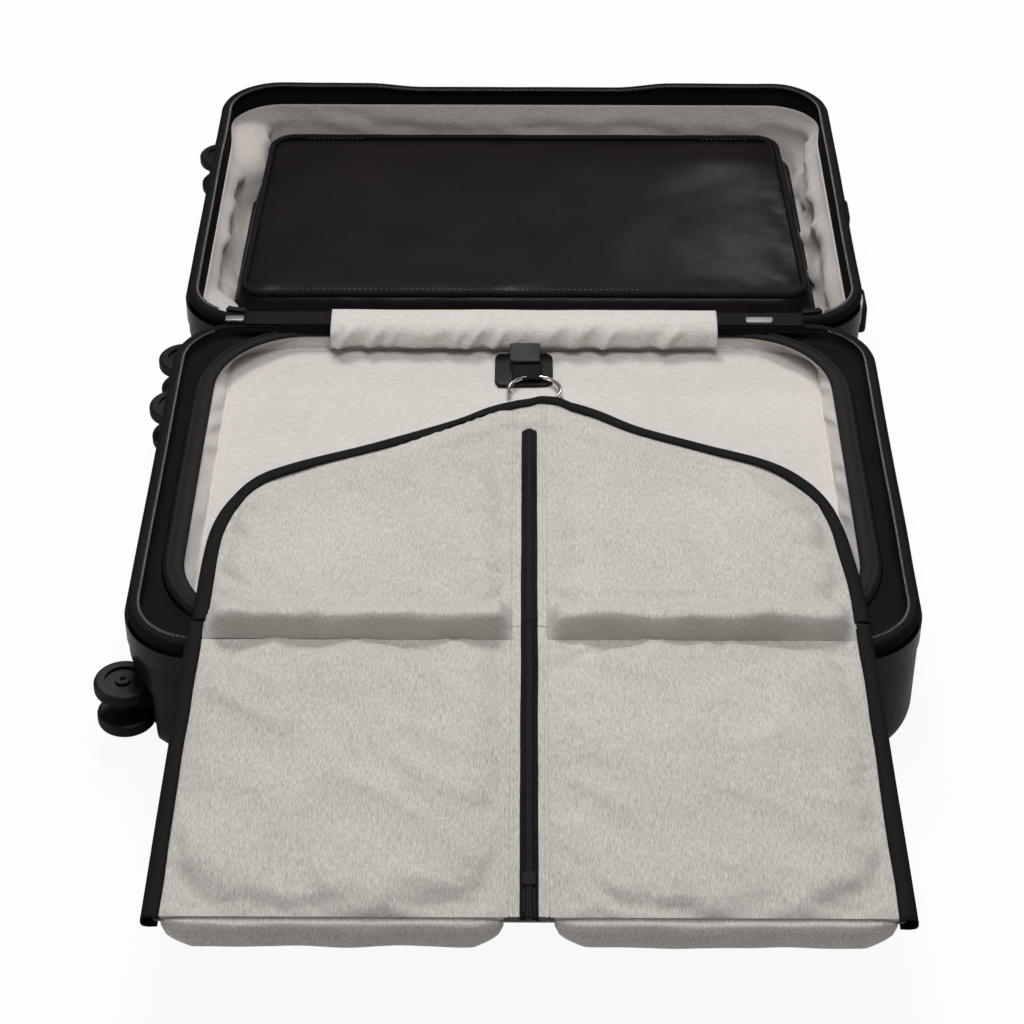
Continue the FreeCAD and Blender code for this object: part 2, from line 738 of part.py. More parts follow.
def hanger_strap():
    """Strap that arches over the hook from its root on the patch."""
    low = TRAY_FLOOR + SEAT + PATCH_THICKNESS + SEAT
    under = hook_top() + STRAP_ROOM
    x0 = SUITER_X + HOOK_X - STRAP_HALF
    x1 = SUITER_X + HOOK_X + STRAP_HALF
    arch = block(x0, x1, -STRAP_END, -STRAP_ROOT, low, under + STRAP_THICKNESS)
    gap = block(x0, x1, -STRAP_END + STRAP_THICKNESS, -STRAP_ROOT - STRAP_THICKNESS, low, under)
    return arch.cut(gap)


# Pocket of the far half


def far_pocket():
    """Flat zipped pocket on the far lining's floor."""
    low = FAR_LINING_FLOOR + LINING_WALL + SEAT
    y0 = Y_IN + POCKET_FRONT
    y1 = Y_OUT - POCKET_BACK
    pad = block(-POCKET_HALF, POCKET_HALF, y0, y1, low, POCKET_TOP, POCKET_RADIUS)
    return round_level(pad, POCKET_TOP, POCKET_ROUND)


# Casters, drawn with the swivel axis along X, wheels trailing to +Y and the axle along Z


def caster_housings(outer_shape):
    """Cups in a half's shell corners, each with a boss for the swivel stem."""
    cups = []
    outer = POD_RADIUS - SEAT
    back = -HALF_X + POD_DEPTH
    for _, y, _ in caster_spots():
        cup = x_rod(outer, -HALF_X - POD_DEPTH, back, y, CASTER_HEIGHT)
        cup = cup.cut(x_rod(outer - POD_WALL, -HALF_X - POD_DEPTH, POD_FACE, y, CASTER_HEIGHT))
        cup = cup.fuse(x_rod(BOSS_RADIUS, back, back + BOSS_LENGTH, y, CASTER_HEIGHT))
        cup = cup.cut(x_rod(STEM_RADIUS + RUN_FIT, POD_FACE, back + BOSS_LENGTH, y, CASTER_HEIGHT))
        cups.append(cup.common(outer_shape))
    return Part.makeCompound(cups)


def place_caster(shape, y, trail):
    """Moves a caster piece to its pod, trailing the given way."""
    placed = shape.copy() if trail > 0 else near(shape)
    placed.translate(Vector(POD_FACE, y, CASTER_HEIGHT))
    return placed


def caster_fork():
    """Turntable with a swivel stem and a web that carries the axle between the wheels."""
    wheel_x = WHEEL_X - POD_FACE
    face = -TURNTABLE_GAP
    fork = x_rod(TURNTABLE_RADIUS, face - TURNTABLE_THICKNESS, face, 0, 0)
    fork = fork.fuse(x_rod(STEM_RADIUS, face - TURNTABLE_THICKNESS, POD_PLATE + BOSS_LENGTH, 0, 0))
    half = (WHEEL_SPACING - WHEEL_WIDTH) / 2 - WHEEL_GAP
    web = [
        (wheel_x, TRAIL - AXLE_BOSS),
        (wheel_x, TRAIL + AXLE_BOSS),
        (face - TURNTABLE_THICKNESS, WEB_HALF),
        (face - TURNTABLE_THICKNESS, -WEB_HALF),
    ]
    fork = fork.fuse(plate(web[::-1], [0] * 4, -half, half))
    fork = fork.fuse(rod(AXLE_BOSS, Vector(wheel_x, TRAIL, -half), Vector(wheel_x, TRAIL, half)))
    hole = rod(AXLE_RADIUS + RUN_FIT, Vector(wheel_x, TRAIL, -half), Vector(wheel_x, TRAIL, half))
    return fork.cut(hole)


def caster_axle():
    """Pin through the fork and both wheels."""
    wheel_x = WHEEL_X - POD_FACE
    half = (WHEEL_SPACING + WHEEL_WIDTH) / 2 - DISH_DEPTH - AXLE_INSET
    return rod(AXLE_RADIUS, Vector(wheel_x, TRAIL, -half), Vector(wheel_x, TRAIL, half))


def caster_wheel(side):
    """Wheel above or below the fork's web, dished on its outer face round a hub."""
    wheel_x = WHEEL_X - POD_FACE
    inner = (WHEEL_SPACING - WHEEL_WIDTH) / 2
    outer = inner + WHEEL_WIDTH
    up = Vector(0, 0, 1)
    wheel = Part.makeCylinder(WHEEL_RADIUS, WHEEL_WIDTH, Vector(0, 0, inner), up)
    wheel = round_level(round_level(wheel, outer, WHEEL_ROUND), inner, WHEEL_ROUND)
    dish = Part.makeCylinder(DISH_RADIUS, DISH_DEPTH, Vector(0, 0, outer - DISH_DEPTH), up)
    dish = dish.cut(Part.makeCylinder(HUB_RADIUS, DISH_DEPTH, Vector(0, 0, outer - DISH_DEPTH), up))
    bore = Part.makeCylinder(AXLE_RADIUS + RUN_FIT, WHEEL_WIDTH, Vector(0, 0, inner), up)
    wheel = wheel.cut(dish).cut(bore)
    wheel.translate(Vector(wheel_x, TRAIL, 0))
    return wheel if side > 0 else wheel.mirror(Vector(0, 0, 0), up)


# Telescopic handle


def tube_pair(radius, wall, x0, x1):
    """Two parallel tubes along X."""
    tubes = []
    for side in (-1, 1):
        y = Y_MID + side * TUBE_SPACING / 2
        bore = x_rod(radius - wall, x0, x1, y, TUBE_HEIGHT)
        tubes.append(x_rod(radius, x0, x1, y, TUBE_HEIGHT).cut(bore))
    return Part.makeCompound(tubes)


def housing_block(grow):
    """Outer block of the handle's housing, grown by an amount."""
    half_y = GRIP_LENGTH / 2 + GRIP_FIT + HOUSING_WALL + grow
    half_z = HOUSING_HALF_HEIGHT + grow
    x0 = HOUSING_BACK - HOUSING_WALL - grow
    x1 = HALF_X + GRIP_PROUD
    return block(x0, x1, Y_MID - half_y, Y_MID + half_y, TUBE_HEIGHT - half_z, TUBE_HEIGHT + half_z)


def trolley_housing(outer_shape):
    """Recess in the shell's end that the grip parks in."""
    half_y = GRIP_LENGTH / 2 + GRIP_FIT
    half_z = GRIP_HEIGHT / 2 + GRIP_FIT
    x1 = HALF_X + GRIP_PROUD
    room = block(HOUSING_BACK, x1, Y_MID - half_y, Y_MID + half_y, TUBE_HEIGHT - half_z, TUBE_HEIGHT + half_z)
    housing = housing_block(0).common(outer_shape).cut(room)
    for side in (-1, 1):
        y = Y_MID + side * TUBE_SPACING / 2
        back = HOUSING_BACK - HOUSING_WALL
        housing = housing.cut(x_rod(TUBE_RADIUS + TUBE_FIT, back, HOUSING_BACK, y, TUBE_HEIGHT))
    return housing


def trolley_foot():
    """Bracket on the shell's floor that holds the lower ends of the outer tubes."""
    x1 = -HALF_X + TUBE_START + FOOT_SOCKET
    half = TUBE_SPACING / 2 + TUBE_RADIUS + FOOT_EDGE
    top = TUBE_HEIGHT + TUBE_RADIUS + FOOT_COVER
    foot = block(x1 - FOOT_LENGTH, x1, Y_MID - half, Y_MID + half, SHELL_WALL, top)
    for side in (-1, 1):
        y = Y_MID + side * TUBE_SPACING / 2
        foot = foot.cut(x_rod(TUBE_RADIUS + TUBE_FIT, x1 - FOOT_SOCKET, x1, y, TUBE_HEIGHT))
    return foot


def button_block(grow, back, front):
    """Push button's block, or the hole for it, in the middle of the grip's bar."""
    half_y = BUTTON_LENGTH / 2 + grow
    half_z = BUTTON_HEIGHT / 2 + grow
    upright = block(-half_z, half_z, -half_y, half_y, back, front, BUTTON_RADIUS + grow)
    upright.rotate(Vector(0, 0, 0), Vector(0, 1, 0), 90)
    upright.translate(Vector(0, Y_MID, TUBE_HEIGHT))
    return upright


def button_front():
    """X of the button's face, proud of the grip."""
    return HALF_X + GRIP_PROUD + BUTTON_PROUD


def trolley_grip():
    """U-shaped grip that follows the shell's rounded end, with a finger gap behind its bar."""
    half_y = GRIP_LENGTH / 2
    half_z = GRIP_HEIGHT / 2
    x1 = HALF_X + GRIP_PROUD
    grip = block(GRIP_BACK, x1, Y_MID - half_y, Y_MID + half_y, TUBE_HEIGHT - half_z, TUBE_HEIGHT + half_z)
    gap_half = TUBE_SPACING / 2 - INNER_TUBE_RADIUS - GRIP_LEG
    bar_back = HALF_X - GRIP_BAR
    gap = block(GRIP_BACK, bar_back, Y_MID - gap_half, Y_MID + gap_half, 0, SHELL_EDGE)
    hole_back = button_front() - BUTTON_DEPTH - BUTTON_TRAVEL - SEAT
    grip = grip.common(shell_block(GRIP_PROUD)).cut(gap)
    return grip.cut(button_block(BUTTON_FIT, hole_back, button_front()))


# Carry handles, drawn lying on their wall with +Z outwards, then stood up


def cap_screw(x, y):
    """Screw from inside the shell into a cap."""
    head = rod(SCREW_HEAD_RADIUS, Vector(x, y, -SHELL_WALL - SCREW_HEAD), Vector(x, y, -SHELL_WALL))
    return head.fuse(rod(SCREW_RADIUS, Vector(x, y, -SHELL_WALL), Vector(x, y, SCREW_LENGTH)))


def screw_spots():
    """Places of a handle's four screws on its wall."""
    x = HANDLE_SPAN / 2 - CAP_END / 2
    return [(sx * x, sy * SCREW_SPACING / 2) for sx in (-1, 1) for sy in (-1, 1)]


def tongue_slot_top():
    """Height above the wall of the slot that the grip's tongue rises in."""
    return CAP_FLOOR + STRAP_FIT + TONGUE_THICKNESS + HANDLE_TRAVEL + STRAP_FIT


def handle_caps():
    """Two end caps with slots for the grip's tongues."""
    half = CAP_HEIGHT / 2
    slot_half = TONGUE_HEIGHT / 2 + BAR_GAP / 2
    outer = HANDLE_SPAN / 2
    inner = outer - CAP_LENGTH
    caps = []
    for side in (-1, 1):
        x0, x1 = sorted((side * inner, side * outer))
        cap = round_level(block(x0, x1, -half, half, 0, CAP_DEPTH, CAP_RADIUS), CAP_DEPTH, CAP_ROUND)
        x0, x1 = sorted((side * inner, side * (outer - CAP_END)))
        caps.append(cap.cut(block(x0, x1, -slot_half, slot_half, CAP_FLOOR, tongue_slot_top())))
    holes = [rod(SCREW_RADIUS, Vector(x, y, 0), Vector(x, y, SCREW_LENGTH)) for x, y in screw_spots()]
    return Part.makeCompound([cap.cut(Part.makeCompound(holes)) for cap in caps])


def handle_grip():
    """Padded bar on a tongue that slides out of the caps."""
    low = CAP_FLOOR + STRAP_FIT
    reach = HANDLE_SPAN / 2 - CAP_END - TONGUE_GAP
    half = TONGUE_HEIGHT / 2
    tongue = block(-reach, reach, -half, half, low, low + TONGUE_THICKNESS)
    bar_reach = HANDLE_SPAN / 2 - CAP_LENGTH - BAR_GAP
    half = BAR_HEIGHT / 2
    bar = block(-bar_reach, bar_reach, -half, half, low, low + BAR_THICKNESS, BAR_CORNER)
    return tongue.fuse(round_level(bar, low + BAR_THICKNESS, BAR_ROUND))


def handle_screws():
    """The four screws of one handle."""
    return Part.makeCompound([cap_screw(x, y) for x, y in screw_spots()])


def screw_holes():
    """Holes for one handle's screws through the shell."""
    return Part.makeCompound(
        [rod(SCREW_RADIUS, Vector(x, y, -SHELL_WALL), Vector(x, y, 0)) for x, y in screw_spots()]
    )


def on_side(shape):
    """Stands a handle piece on the far wall."""
    placed = shape.copy()
    placed.rotate(Vector(0, 0, 0), Vector(1, 0, 0), -90)
    placed.translate(Vector(0, Y_OUT, SIDE_HANDLE_HEIGHT))
    return placed


def on_top(shape):
    """Stands a handle piece on the case's top end."""
    placed = shape.copy()
    placed.rotate(Vector(0, 0, 0), Vector(1, 0, 0), -90)
    placed.rotate(Vector(0, 0, 0), Vector(0, 0, 1), -90)
    placed.translate(Vector(HALF_X, Y_MID, TOP_HANDLE_HEIGHT))
    return placed


# Nodes


def case_nodes():
    """Shells, rims, linings and hinge."""
    trim, tape, chain, shell = edge_trim(), zip_tape(), zip_chain(), half_shell()
    far_shell = shell.cut(housing_block(SEAT)).cut(on_side(screw_holes())).cut(on_top(screw_holes()))
    nodes = {
        "near_shell": near(shell),
        "far_shell": far_shell,
        "near_lining": near(lining(LINING_INSET, NEAR_LINING_TOP, FACE_RADIUS - LINING_INSET)),
        "far_lining": lining(FAR_LINING_FLOOR, FAR_LINING_TOP, FAR_LINING_RADIUS),
        "hinge_tape": hinge_tape(),
        "hinge_flap": hinge_flap(),
        "tray_panel": near(tray_panel()),
        "tray_zip_band": near(tray_zip_band()),
        "far_pocket": far_pocket(),
    }
    for name, shape in (("edge_trim", trim), ("zip_tape", tape), ("zip_chain", chain)):
        nodes["near_" + name] = near(shape)
        nodes["far_" + name] = shape
    for name, side in (("left", -1), ("right", 1)):
        nodes["main_zip_slider_" + name] = main_zip_slider(side)
        nodes["main_zip_pull_" + name] = main_zip_pull(side)
    return nodes


def bag_nodes():
    """Garment bag with its hanger."""
    fold = FOLD_GAP / 2
    return {
        "suiter_upper": suiter_upper(),
        "suiter_lower": suiter_lower(),
        "suiter_upper_binding": suiter_upper_binding(),
        "suiter_lower_binding": suiter_lower_binding(),
        "suiter_upper_zip": slope_bag(bag_zip(fold, BAG_ZIP_TOP)),
        "suiter_lower_zip": lay_bag(bag_zip(-LOWER_LENGTH - BAG_ZIP_TAIL, -fold)),
        "suiter_zip_slider": suiter_zip_slider(),
        "suiter_zip_puller": suiter_zip_puller(),
        "hanger": hanger(),
        "hanger_patch": hanger_patch(),
        "hanger_strap": hanger_strap(),
    }


def caster_nodes():
    """Cups, forks, axles and wheels of all four casters."""
    housings = caster_housings(shell_block())
    nodes = {"near_caster_housings": near(housings), "far_caster_housings": housings}
    pieces = {
        "fork": caster_fork(),
        "axle": caster_axle(),
        "wheel_upper": caster_wheel(1),
        "wheel_lower": caster_wheel(-1),
    }
    for spot, y, trail in caster_spots():
        for name, shape in pieces.items():
            placed = place_caster(shape, y, trail)
            nodes["near_%s_%s" % (spot, name)] = near(placed)
            nodes["far_%s_%s" % (spot, name)] = placed
    return nodes


def handle_nodes():
    """Telescopic handle and the two carry handles."""
    start = -HALF_X + TUBE_START
    return {
        "trolley_housing": trolley_housing(shell_block()),
        "trolley_foot": trolley_foot(),
        "trolley_outer_tubes": tube_pair(TUBE_RADIUS, TUBE_WALL, start, HOUSING_BACK),
        "trolley_mid_tubes": tube_pair(MID_TUBE_RADIUS, TUBE_WALL, start + TUBE_STEP, HOUSING_BACK + MID_PROUD),
        "trolley_inner_tubes": tube_pair(INNER_TUBE_RADIUS, TUBE_WALL, start + 2 * TUBE_STEP, GRIP_BACK),
        "trolley_grip": trolley_grip(),
        "trolley_button": button_block(0, button_front() - BUTTON_DEPTH, button_front()),
        "side_handle_caps": on_side(handle_caps()),
        "side_handle_grip": on_side(handle_grip()),
        "top_handle_caps": on_top(handle_caps()),
        "top_handle_grip": on_top(handle_grip()),
        "handle_screws": Part.makeCompound([on_side(handle_screws()), on_top(handle_screws())]),
    }


def main():
    """Builds every node, moves it to the part's origin and writes it."""
    os.makedirs("parts", exist_ok=True)
    nodes = {**case_nodes(), **bag_nodes(), **caster_nodes(), **handle_nodes()}
    for name, shape in nodes.items():
        placed = shape.copy()
        placed.translate(ORIGIN * -1)
        placed.exportStep("parts/%s.step" % name)
        volume = sum(solid.Volume for solid in placed.Solids)
        print("%-24s solids %d valid %s volume %.0f" % (name, len(placed.Solids), placed.isValid(), volume))
    print(len(nodes), "nodes")


if __name__ == "__main__":
    main()
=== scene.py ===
import logging
import math
from collections.abc import Callable, Iterator
from contextlib import contextmanager
from dataclasses import dataclass, field
from enum import Enum
from functools import cache

import bpy
import numpy as np
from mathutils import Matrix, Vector, geometry, noise


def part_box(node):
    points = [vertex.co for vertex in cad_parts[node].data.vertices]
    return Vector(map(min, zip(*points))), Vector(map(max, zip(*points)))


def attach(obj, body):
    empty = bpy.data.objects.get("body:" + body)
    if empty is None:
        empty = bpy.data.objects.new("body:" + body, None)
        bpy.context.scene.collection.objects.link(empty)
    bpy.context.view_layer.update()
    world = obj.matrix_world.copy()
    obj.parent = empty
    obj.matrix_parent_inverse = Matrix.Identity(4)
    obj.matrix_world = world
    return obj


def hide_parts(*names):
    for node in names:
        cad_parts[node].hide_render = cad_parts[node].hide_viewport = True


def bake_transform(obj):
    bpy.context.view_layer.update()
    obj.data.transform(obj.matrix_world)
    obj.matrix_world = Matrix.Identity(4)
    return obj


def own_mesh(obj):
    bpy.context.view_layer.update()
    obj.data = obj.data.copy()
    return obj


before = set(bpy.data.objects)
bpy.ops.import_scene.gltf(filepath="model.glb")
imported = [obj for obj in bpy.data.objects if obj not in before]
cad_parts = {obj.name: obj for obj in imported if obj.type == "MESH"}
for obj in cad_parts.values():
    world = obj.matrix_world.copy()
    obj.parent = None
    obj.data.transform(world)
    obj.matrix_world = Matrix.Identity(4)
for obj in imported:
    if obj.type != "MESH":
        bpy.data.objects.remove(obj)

# Open hard-shell suitcase. Soft pieces are drawn in millimetres about the hinge line, as the solids are,
# and land in the frame through ORIGIN.
log = logging.getLogger("suitcase")
Piece = bpy.types.Object
Array = np.ndarray
MM = 0.001
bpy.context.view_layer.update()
NEAR_LO, NEAR_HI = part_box("near_shell")
FAR_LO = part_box("far_shell")[0]
ORIGIN = np.array([(NEAR_LO.x + NEAR_HI.x) / 2, (NEAR_HI.y + FAR_LO.y) / 2, 0.0])


class Side(Enum):
    """Which half of the case a piece belongs to; the value is the sign of its y."""

    NEAR = -1
    FAR = 1


class Streak(Enum):
    """Direction in which a heather cloth's yarn runs."""

    ALONG_CASE = (150.0, 1300.0, 500.0)
    ACROSS_CASE = (1300.0, 150.0, 500.0)


class Sock:
    """A shader value that takes part in Python expressions."""

    def __init__(self, shader: "Shader", socket: bpy.types.NodeSocket) -> None:
        """Wraps one output socket of a shader."""
        self.shader, self.socket = shader, socket

    def math(self, operation: str, first: object, second: object = 0.0) -> "Sock":
        """Result of one Math node."""
        return self.shader.node("ShaderNodeMath", {"operation": operation}, {0: first, 1: second})

    def __add__(self, other: object) -> "Sock":
        """Sum."""
        return self.math("ADD", self, other)

    def __radd__(self, other: object) -> "Sock":
        """Sum, from the right."""
        return self.math("ADD", other, self)

    def __sub__(self, other: object) -> "Sock":
        """Difference."""
        return self.math("SUBTRACT", self, other)

    def __rsub__(self, other: object) -> "Sock":
        """Difference, from the right."""
        return self.math("SUBTRACT", other, self)

    def __mul__(self, other: object) -> "Sock":
        """Product."""
        return self.math("MULTIPLY", self, other)

    def __rmul__(self, other: object) -> "Sock":
        """Product, from the right."""
        return self.math("MULTIPLY", other, self)

    def __gt__(self, other: object) -> "Sock":
        """One where the value is greater."""
        return self.math("GREATER_THAN", self, other)

    def sine(self) -> "Sock":
        """Sine of the value."""
        return self.math("SINE", self)


class Shader:
    """One material's node tree."""

    def __init__(self, name: str) -> None:
        """Starts a material with a bare Principled shader."""
        self.material = bpy.data.materials.new(name)
        self.material.use_nodes = True
        self.tree = self.material.node_tree
        self.body = self.tree.nodes["Principled BSDF"]

    def feed(self, made: bpy.types.Node, inputs: dict) -> None:
        """Gives a node's inputs their values or Socks."""
        for key, value in inputs.items():
            if isinstance(value, Sock):
                self.tree.links.new(value.socket, made.inputs[key])
            else:
                made.inputs[key].default_value = value

    def node(self, kind: str, settings: dict, inputs: dict, output: object = 0) -> Sock:
        """Adds any node.

        Args:
            kind: the node's type.
            settings: its settings; "stops" holds a ramp's two (place, colour) pairs.
            inputs: values or Socks by socket name or number.
            output: the output to hand back.

        Returns:
            That output.
        """
        made = self.tree.nodes.new(kind)
        for key, value in settings.items():
            if key == "stops":
                for element, (place, colour) in zip(made.color_ramp.elements, value):
                    element.position = place
                    element.color = (*colour, 1.0)
            else:
                setattr(made, key, value)
        self.feed(made, inputs)
        return Sock(self, made.outputs[output])

    def axes(self, kind: str) -> list:
        """The first two parts of a texture coordinate, in metres."""
        spot = self.node("ShaderNodeTexCoord", {}, {}, kind)
        return [self.node("ShaderNodeSeparateXYZ", {}, {0: spot}, part) for part in "XY"]

    def speckle(self, scale: float | tuple, detail: float = 2.0, roughness: float = 0.5) -> Sock:
        """Noise between 0 and 1.

        Args:
            scale: spots per metre, along every axis or each.
            detail: layers of finer noise.
            roughness: share of each finer layer.

        Returns:
            The noise.
        """
        scale = scale if isinstance(scale, tuple) else (scale,) * 3
        spot = self.node("ShaderNodeTexCoord", {}, {}, "Object")
        spot = self.node("ShaderNodeMapping", {}, {"Vector": spot, "Scale": scale})
        inputs = {"Vector": spot, "Scale": 1.0, "Detail": detail, "Roughness": roughness}
        return self.node("ShaderNodeTexNoise", {}, inputs)

    def paint(self, factor: Sock, dark: tuple, light: tuple, low: float, high: float) -> None:
        """Sets a colour that runs from dark to light as the factor goes from low to high."""
        stops = ((low, dark), (high, light))
        self.set({"Base Color": self.node("ShaderNodeValToRGB", {"stops": stops}, {"Fac": factor})})

    def bump(self, height: Sock, strength: float, depth: float) -> None:
        """Feeds a height between 0 and 1 to the shader's normal, with its depth in metres."""
        inputs = {"Height": height, "Strength": strength, "Distance": depth}
        self.set({"Normal": self.node("ShaderNodeBump", {}, inputs)})

    def set(self, values: dict) -> None:
        """Sets sockets of the Principled shader to values or Socks."""
        self.feed(self.body, values)


@dataclass(frozen=True)
class Heather:
    """Warm grey melange cloth with fine streaks of lighter and darker yarn."""

    name: str
    dark: tuple
    light: tuple
    streak: Streak
    stitched: bool = False
    finer: float = 2.6
    weave: float = 5200.0
    stitch_middle: float = 0.005
    stitch_rows: tuple = (128.0, 140.0, 205.0, 221.0)
    stitch_beat: float = 2100.0

    def build(self) -> bpy.types.Material:
        """Makes the cloth's material, with rows of stitches beside the zip where it is stitched."""
        s = Shader(self.name)
        yarn = s.speckle(self.streak.value, 3.0, 0.65)
        fine = s.speckle(tuple(self.finer * v for v in self.streak.value), 2.0, 0.6)
        mix = yarn * 0.6 + fine * 0.32 + s.speckle(9.0) * 0.08
        x, y = s.axes("Object")
        if self.stitched:
            away = (x - ORIGIN[0] - self.stitch_middle) * (1.0 / MM)
            away = away * away
            a, b, c, d = self.stitch_rows
            rows = (away > a) - (away > b) + (away > c) - (away > d)
            mix = mix - rows * ((y * self.stitch_beat).sine() > -0.35) * 0.16
        s.paint(mix, self.dark, self.light, 0.34, 0.66)
        s.set({"Roughness": 0.78 + yarn * 0.16, "Sheen Weight": 0.12, "Sheen Roughness": 0.5})
        s.set({"Specular IOR Level": 0.3})
        weave = (x * self.weave).sine() * (y * self.weave).sine()
        s.bump(weave * 0.25 + yarn * 0.5 + fine * 0.4, 0.35, 0.0006)
        return s.material


@dataclass(frozen=True)
class Nylon:
    """Dark coated nylon with a fine square weave that glints."""

    name: str
    dark: tuple
    light: tuple
    rough: float
    glint: float
    weave: float = 3600.0

    def build(self) -> bpy.types.Material:
        """Makes the nylon's material."""
        s = Shader(self.name)
        x, y = s.axes("Object")
        weave = (x * self.weave).sine() * (y * self.weave).sine()
        grain = s.speckle(420.0, 2.0, 0.6)
        patch = s.speckle(11.0, 3.0, 0.55)
        s.paint(patch * 0.6 + grain * 0.4, self.dark, self.light, 0.3, 0.75)
        s.set({"Roughness": self.rough + grain * 0.22 - patch * 0.1, "Specular IOR Level": 0.06})
        glint = s.speckle(2300.0, 1.0) > 0.56
        s.set({"Coat Weight": glint * self.glint, "Coat Roughness": 0.24})
        s.bump(weave * 0.3 + grain * 0.6, 0.55, 0.0007)
        return s.material


@dataclass(frozen=True)
class Webbing:
    """Woven tape with ribs across its length."""

    name: str
    dark: tuple
    light: tuple
    rib: float
    rough: float = 0.62

    def build(self) -> bpy.types.Material:
        """Makes the tape's material."""
        s = Shader(self.name)
        length, width = s.axes("UV")
        rib = (length * (2 * math.pi / self.rib)).sine() * 0.5 + 0.5
        warp = (width * (2 * math.pi / (self.rib * 1.6))).sine() * 0.5 + 0.5
        fuzz = s.speckle(260.0, 2.0, 0.6)
        s.paint(rib * 0.35 + fuzz * 0.65, self.dark, self.light, 0.2, 0.85)
        s.set({"Roughness": self.rough + fuzz * 0.2, "Specular IOR Level": 0.1})
        s.bump(rib * 0.7 + warp * 0.2 + fuzz * 0.3, 0.6, 0.0005)
        return s.material


@dataclass(frozen=True)
class Moulded:
    """Moulded plastic or rubber with a fine grain and some rubbed spots."""

    name: str
    dark: tuple
    light: tuple
    rough: float
    grain: float
    coat: float = 0.0
    spread: float = 0.14

    def build(self) -> bpy.types.Material:
        """Makes the plastic's material."""
        s = Shader(self.name)
        grain = s.speckle(self.grain, 3.0, 0.6)
        rubbed = s.speckle(14.0, 4.0, 0.6)
        s.paint(rubbed * 0.7 + grain * 0.3, self.dark, self.light, 0.3, 0.75)
        s.set({"Roughness": self.rough + (rubbed - 0.5) * self.spread, "Coat Weight": self.coat})
        s.set({"Coat Roughness": 0.12, "Specular IOR Level": 0.24})
        s.bump(grain, 0.25, 0.0004)
        return s.material


@dataclass(frozen=True)
class Metal:
    """Drawn or plated metal with fine lines along one axis."""

    name: str
    colour: tuple
    rough: float
    lines: float | tuple
    dulled: float = 0.78

    def build(self) -> bpy.types.Material:
        """Makes the metal's material."""
        s = Shader(self.name)
        line = s.speckle(self.lines, 3.0, 0.6)
        dull = s.speckle(30.0, 3.0, 0.6)
        shade = tuple(self.dulled * c for c in self.colour)
        s.paint(line * 0.5 + dull * 0.5, shade, self.colour, 0.3, 0.7)
        s.set({"Metallic": 1.0, "Roughness": self.rough + line * 0.1 + dull * 0.08})
        s.bump(line, 0.12, 0.0002)
        return s.material


def grey(value: float) -> tuple:
    """Even grey."""
    return (value,) * 3


class Finish(Enum):
    """Every finish of the case."""

    BAG = Heather("bag_heather", (0.29, 0.264, 0.238), (0.65, 0.612, 0.57), Streak.ACROSS_CASE, True)
    TRAY = Heather("tray_heather", (0.45, 0.412, 0.385), (0.68, 0.635, 0.605), Streak.ALONG_CASE)
    LINING = Heather("lining_heather", (0.38, 0.34, 0.315), (0.6, 0.55, 0.52), Streak.ALONG_CASE)
    POCKET = Nylon("pocket_nylon", (0.0042, 0.0025, 0.0044), (0.0092, 0.006, 0.0094), 0.42, 0.4)
    BLACK_LINING = Nylon("lining_nylon", (0.0026, 0.0018, 0.0027), (0.0055, 0.004, 0.0055), 0.6, 0.02)
    TAPE = Webbing("zip_tape_weave", (0.0022, 0.0022, 0.0023), (0.006, 0.006, 0.0062), 0.0016, 0.6)
    BINDING = Webbing("grosgrain", (0.0035, 0.0035, 0.0034), (0.0095, 0.009, 0.0088), 0.0019)
    BAND = Webbing("band_grosgrain", (0.009, 0.009, 0.0088), (0.021, 0.0205, 0.02), 0.0021)
    COIL = Webbing("coil_zip", grey(0.002), (0.008, 0.008, 0.0082), 0.0022, 0.4)
    STRAP = Webbing("strap_webbing", grey(0.004), (0.011, 0.011, 0.0112), 0.0024)
    THREAD = Webbing("thread", (0.2, 0.18, 0.17), (0.36, 0.34, 0.32), 0.0008, 0.7)
    SHELL = Moulded(
        "black_polycarbonate", (0.0025, 0.0025, 0.0026), (0.006, 0.006, 0.0061), 0.28, 900.0, 0.15, 0.1
    )
    TRIM = Moulded("edge_strip", grey(0.002), grey(0.005), 0.16, 700.0, 0.3, 0.06)
    HOUSING = Moulded("black_moulding", grey(0.003), (0.007, 0.007, 0.0072), 0.45, 1100.0)
    FORK = Moulded("grey_moulding", grey(0.005), (0.012, 0.012, 0.0122), 0.4, 900.0)
    TREAD = Moulded("wheel_tread", grey(0.003), (0.008, 0.0078, 0.0076), 0.45, 500.0)
    GRIP = Moulded("soft_grip", grey(0.003), grey(0.008), 0.6, 1300.0)
    BUTTON = Moulded("grey_button", (0.09, 0.09, 0.094), (0.15, 0.15, 0.155), 0.35, 900.0)
    PATCH = Moulded("coated_patch", grey(0.001), grey(0.0028), 0.62, 650.0, 0.02)
    SNAP = Moulded("snap_cover", (0.006, 0.006, 0.0062), (0.014, 0.014, 0.0143), 0.45, 800.0)
    SLIDER = Moulded("black_slider", grey(0.0008), grey(0.002), 0.75, 900.0)
    CHROME = Metal("polished_wire", (0.8, 0.78, 0.75), 0.1, (60.0, 400.0, 400.0))
    TEETH = Metal("zip_teeth", (0.13, 0.13, 0.132), 0.28, 500.0)
    TAB = Metal("zip_tab", (0.26, 0.255, 0.24), 0.34, (40.0, 700.0, 700.0))
    STEEL = Metal("plated_steel", (0.6, 0.6, 0.61), 0.25, (400.0, 400.0, 60.0))
    TUBE = Metal("anodised_tube", (0.5, 0.5, 0.52), 0.3, (30.0, 900.0, 900.0))

    @property
    @cache
    def material(self) -> bpy.types.Material:
        """The finish's material, made at its first use."""
        return self.value.build()


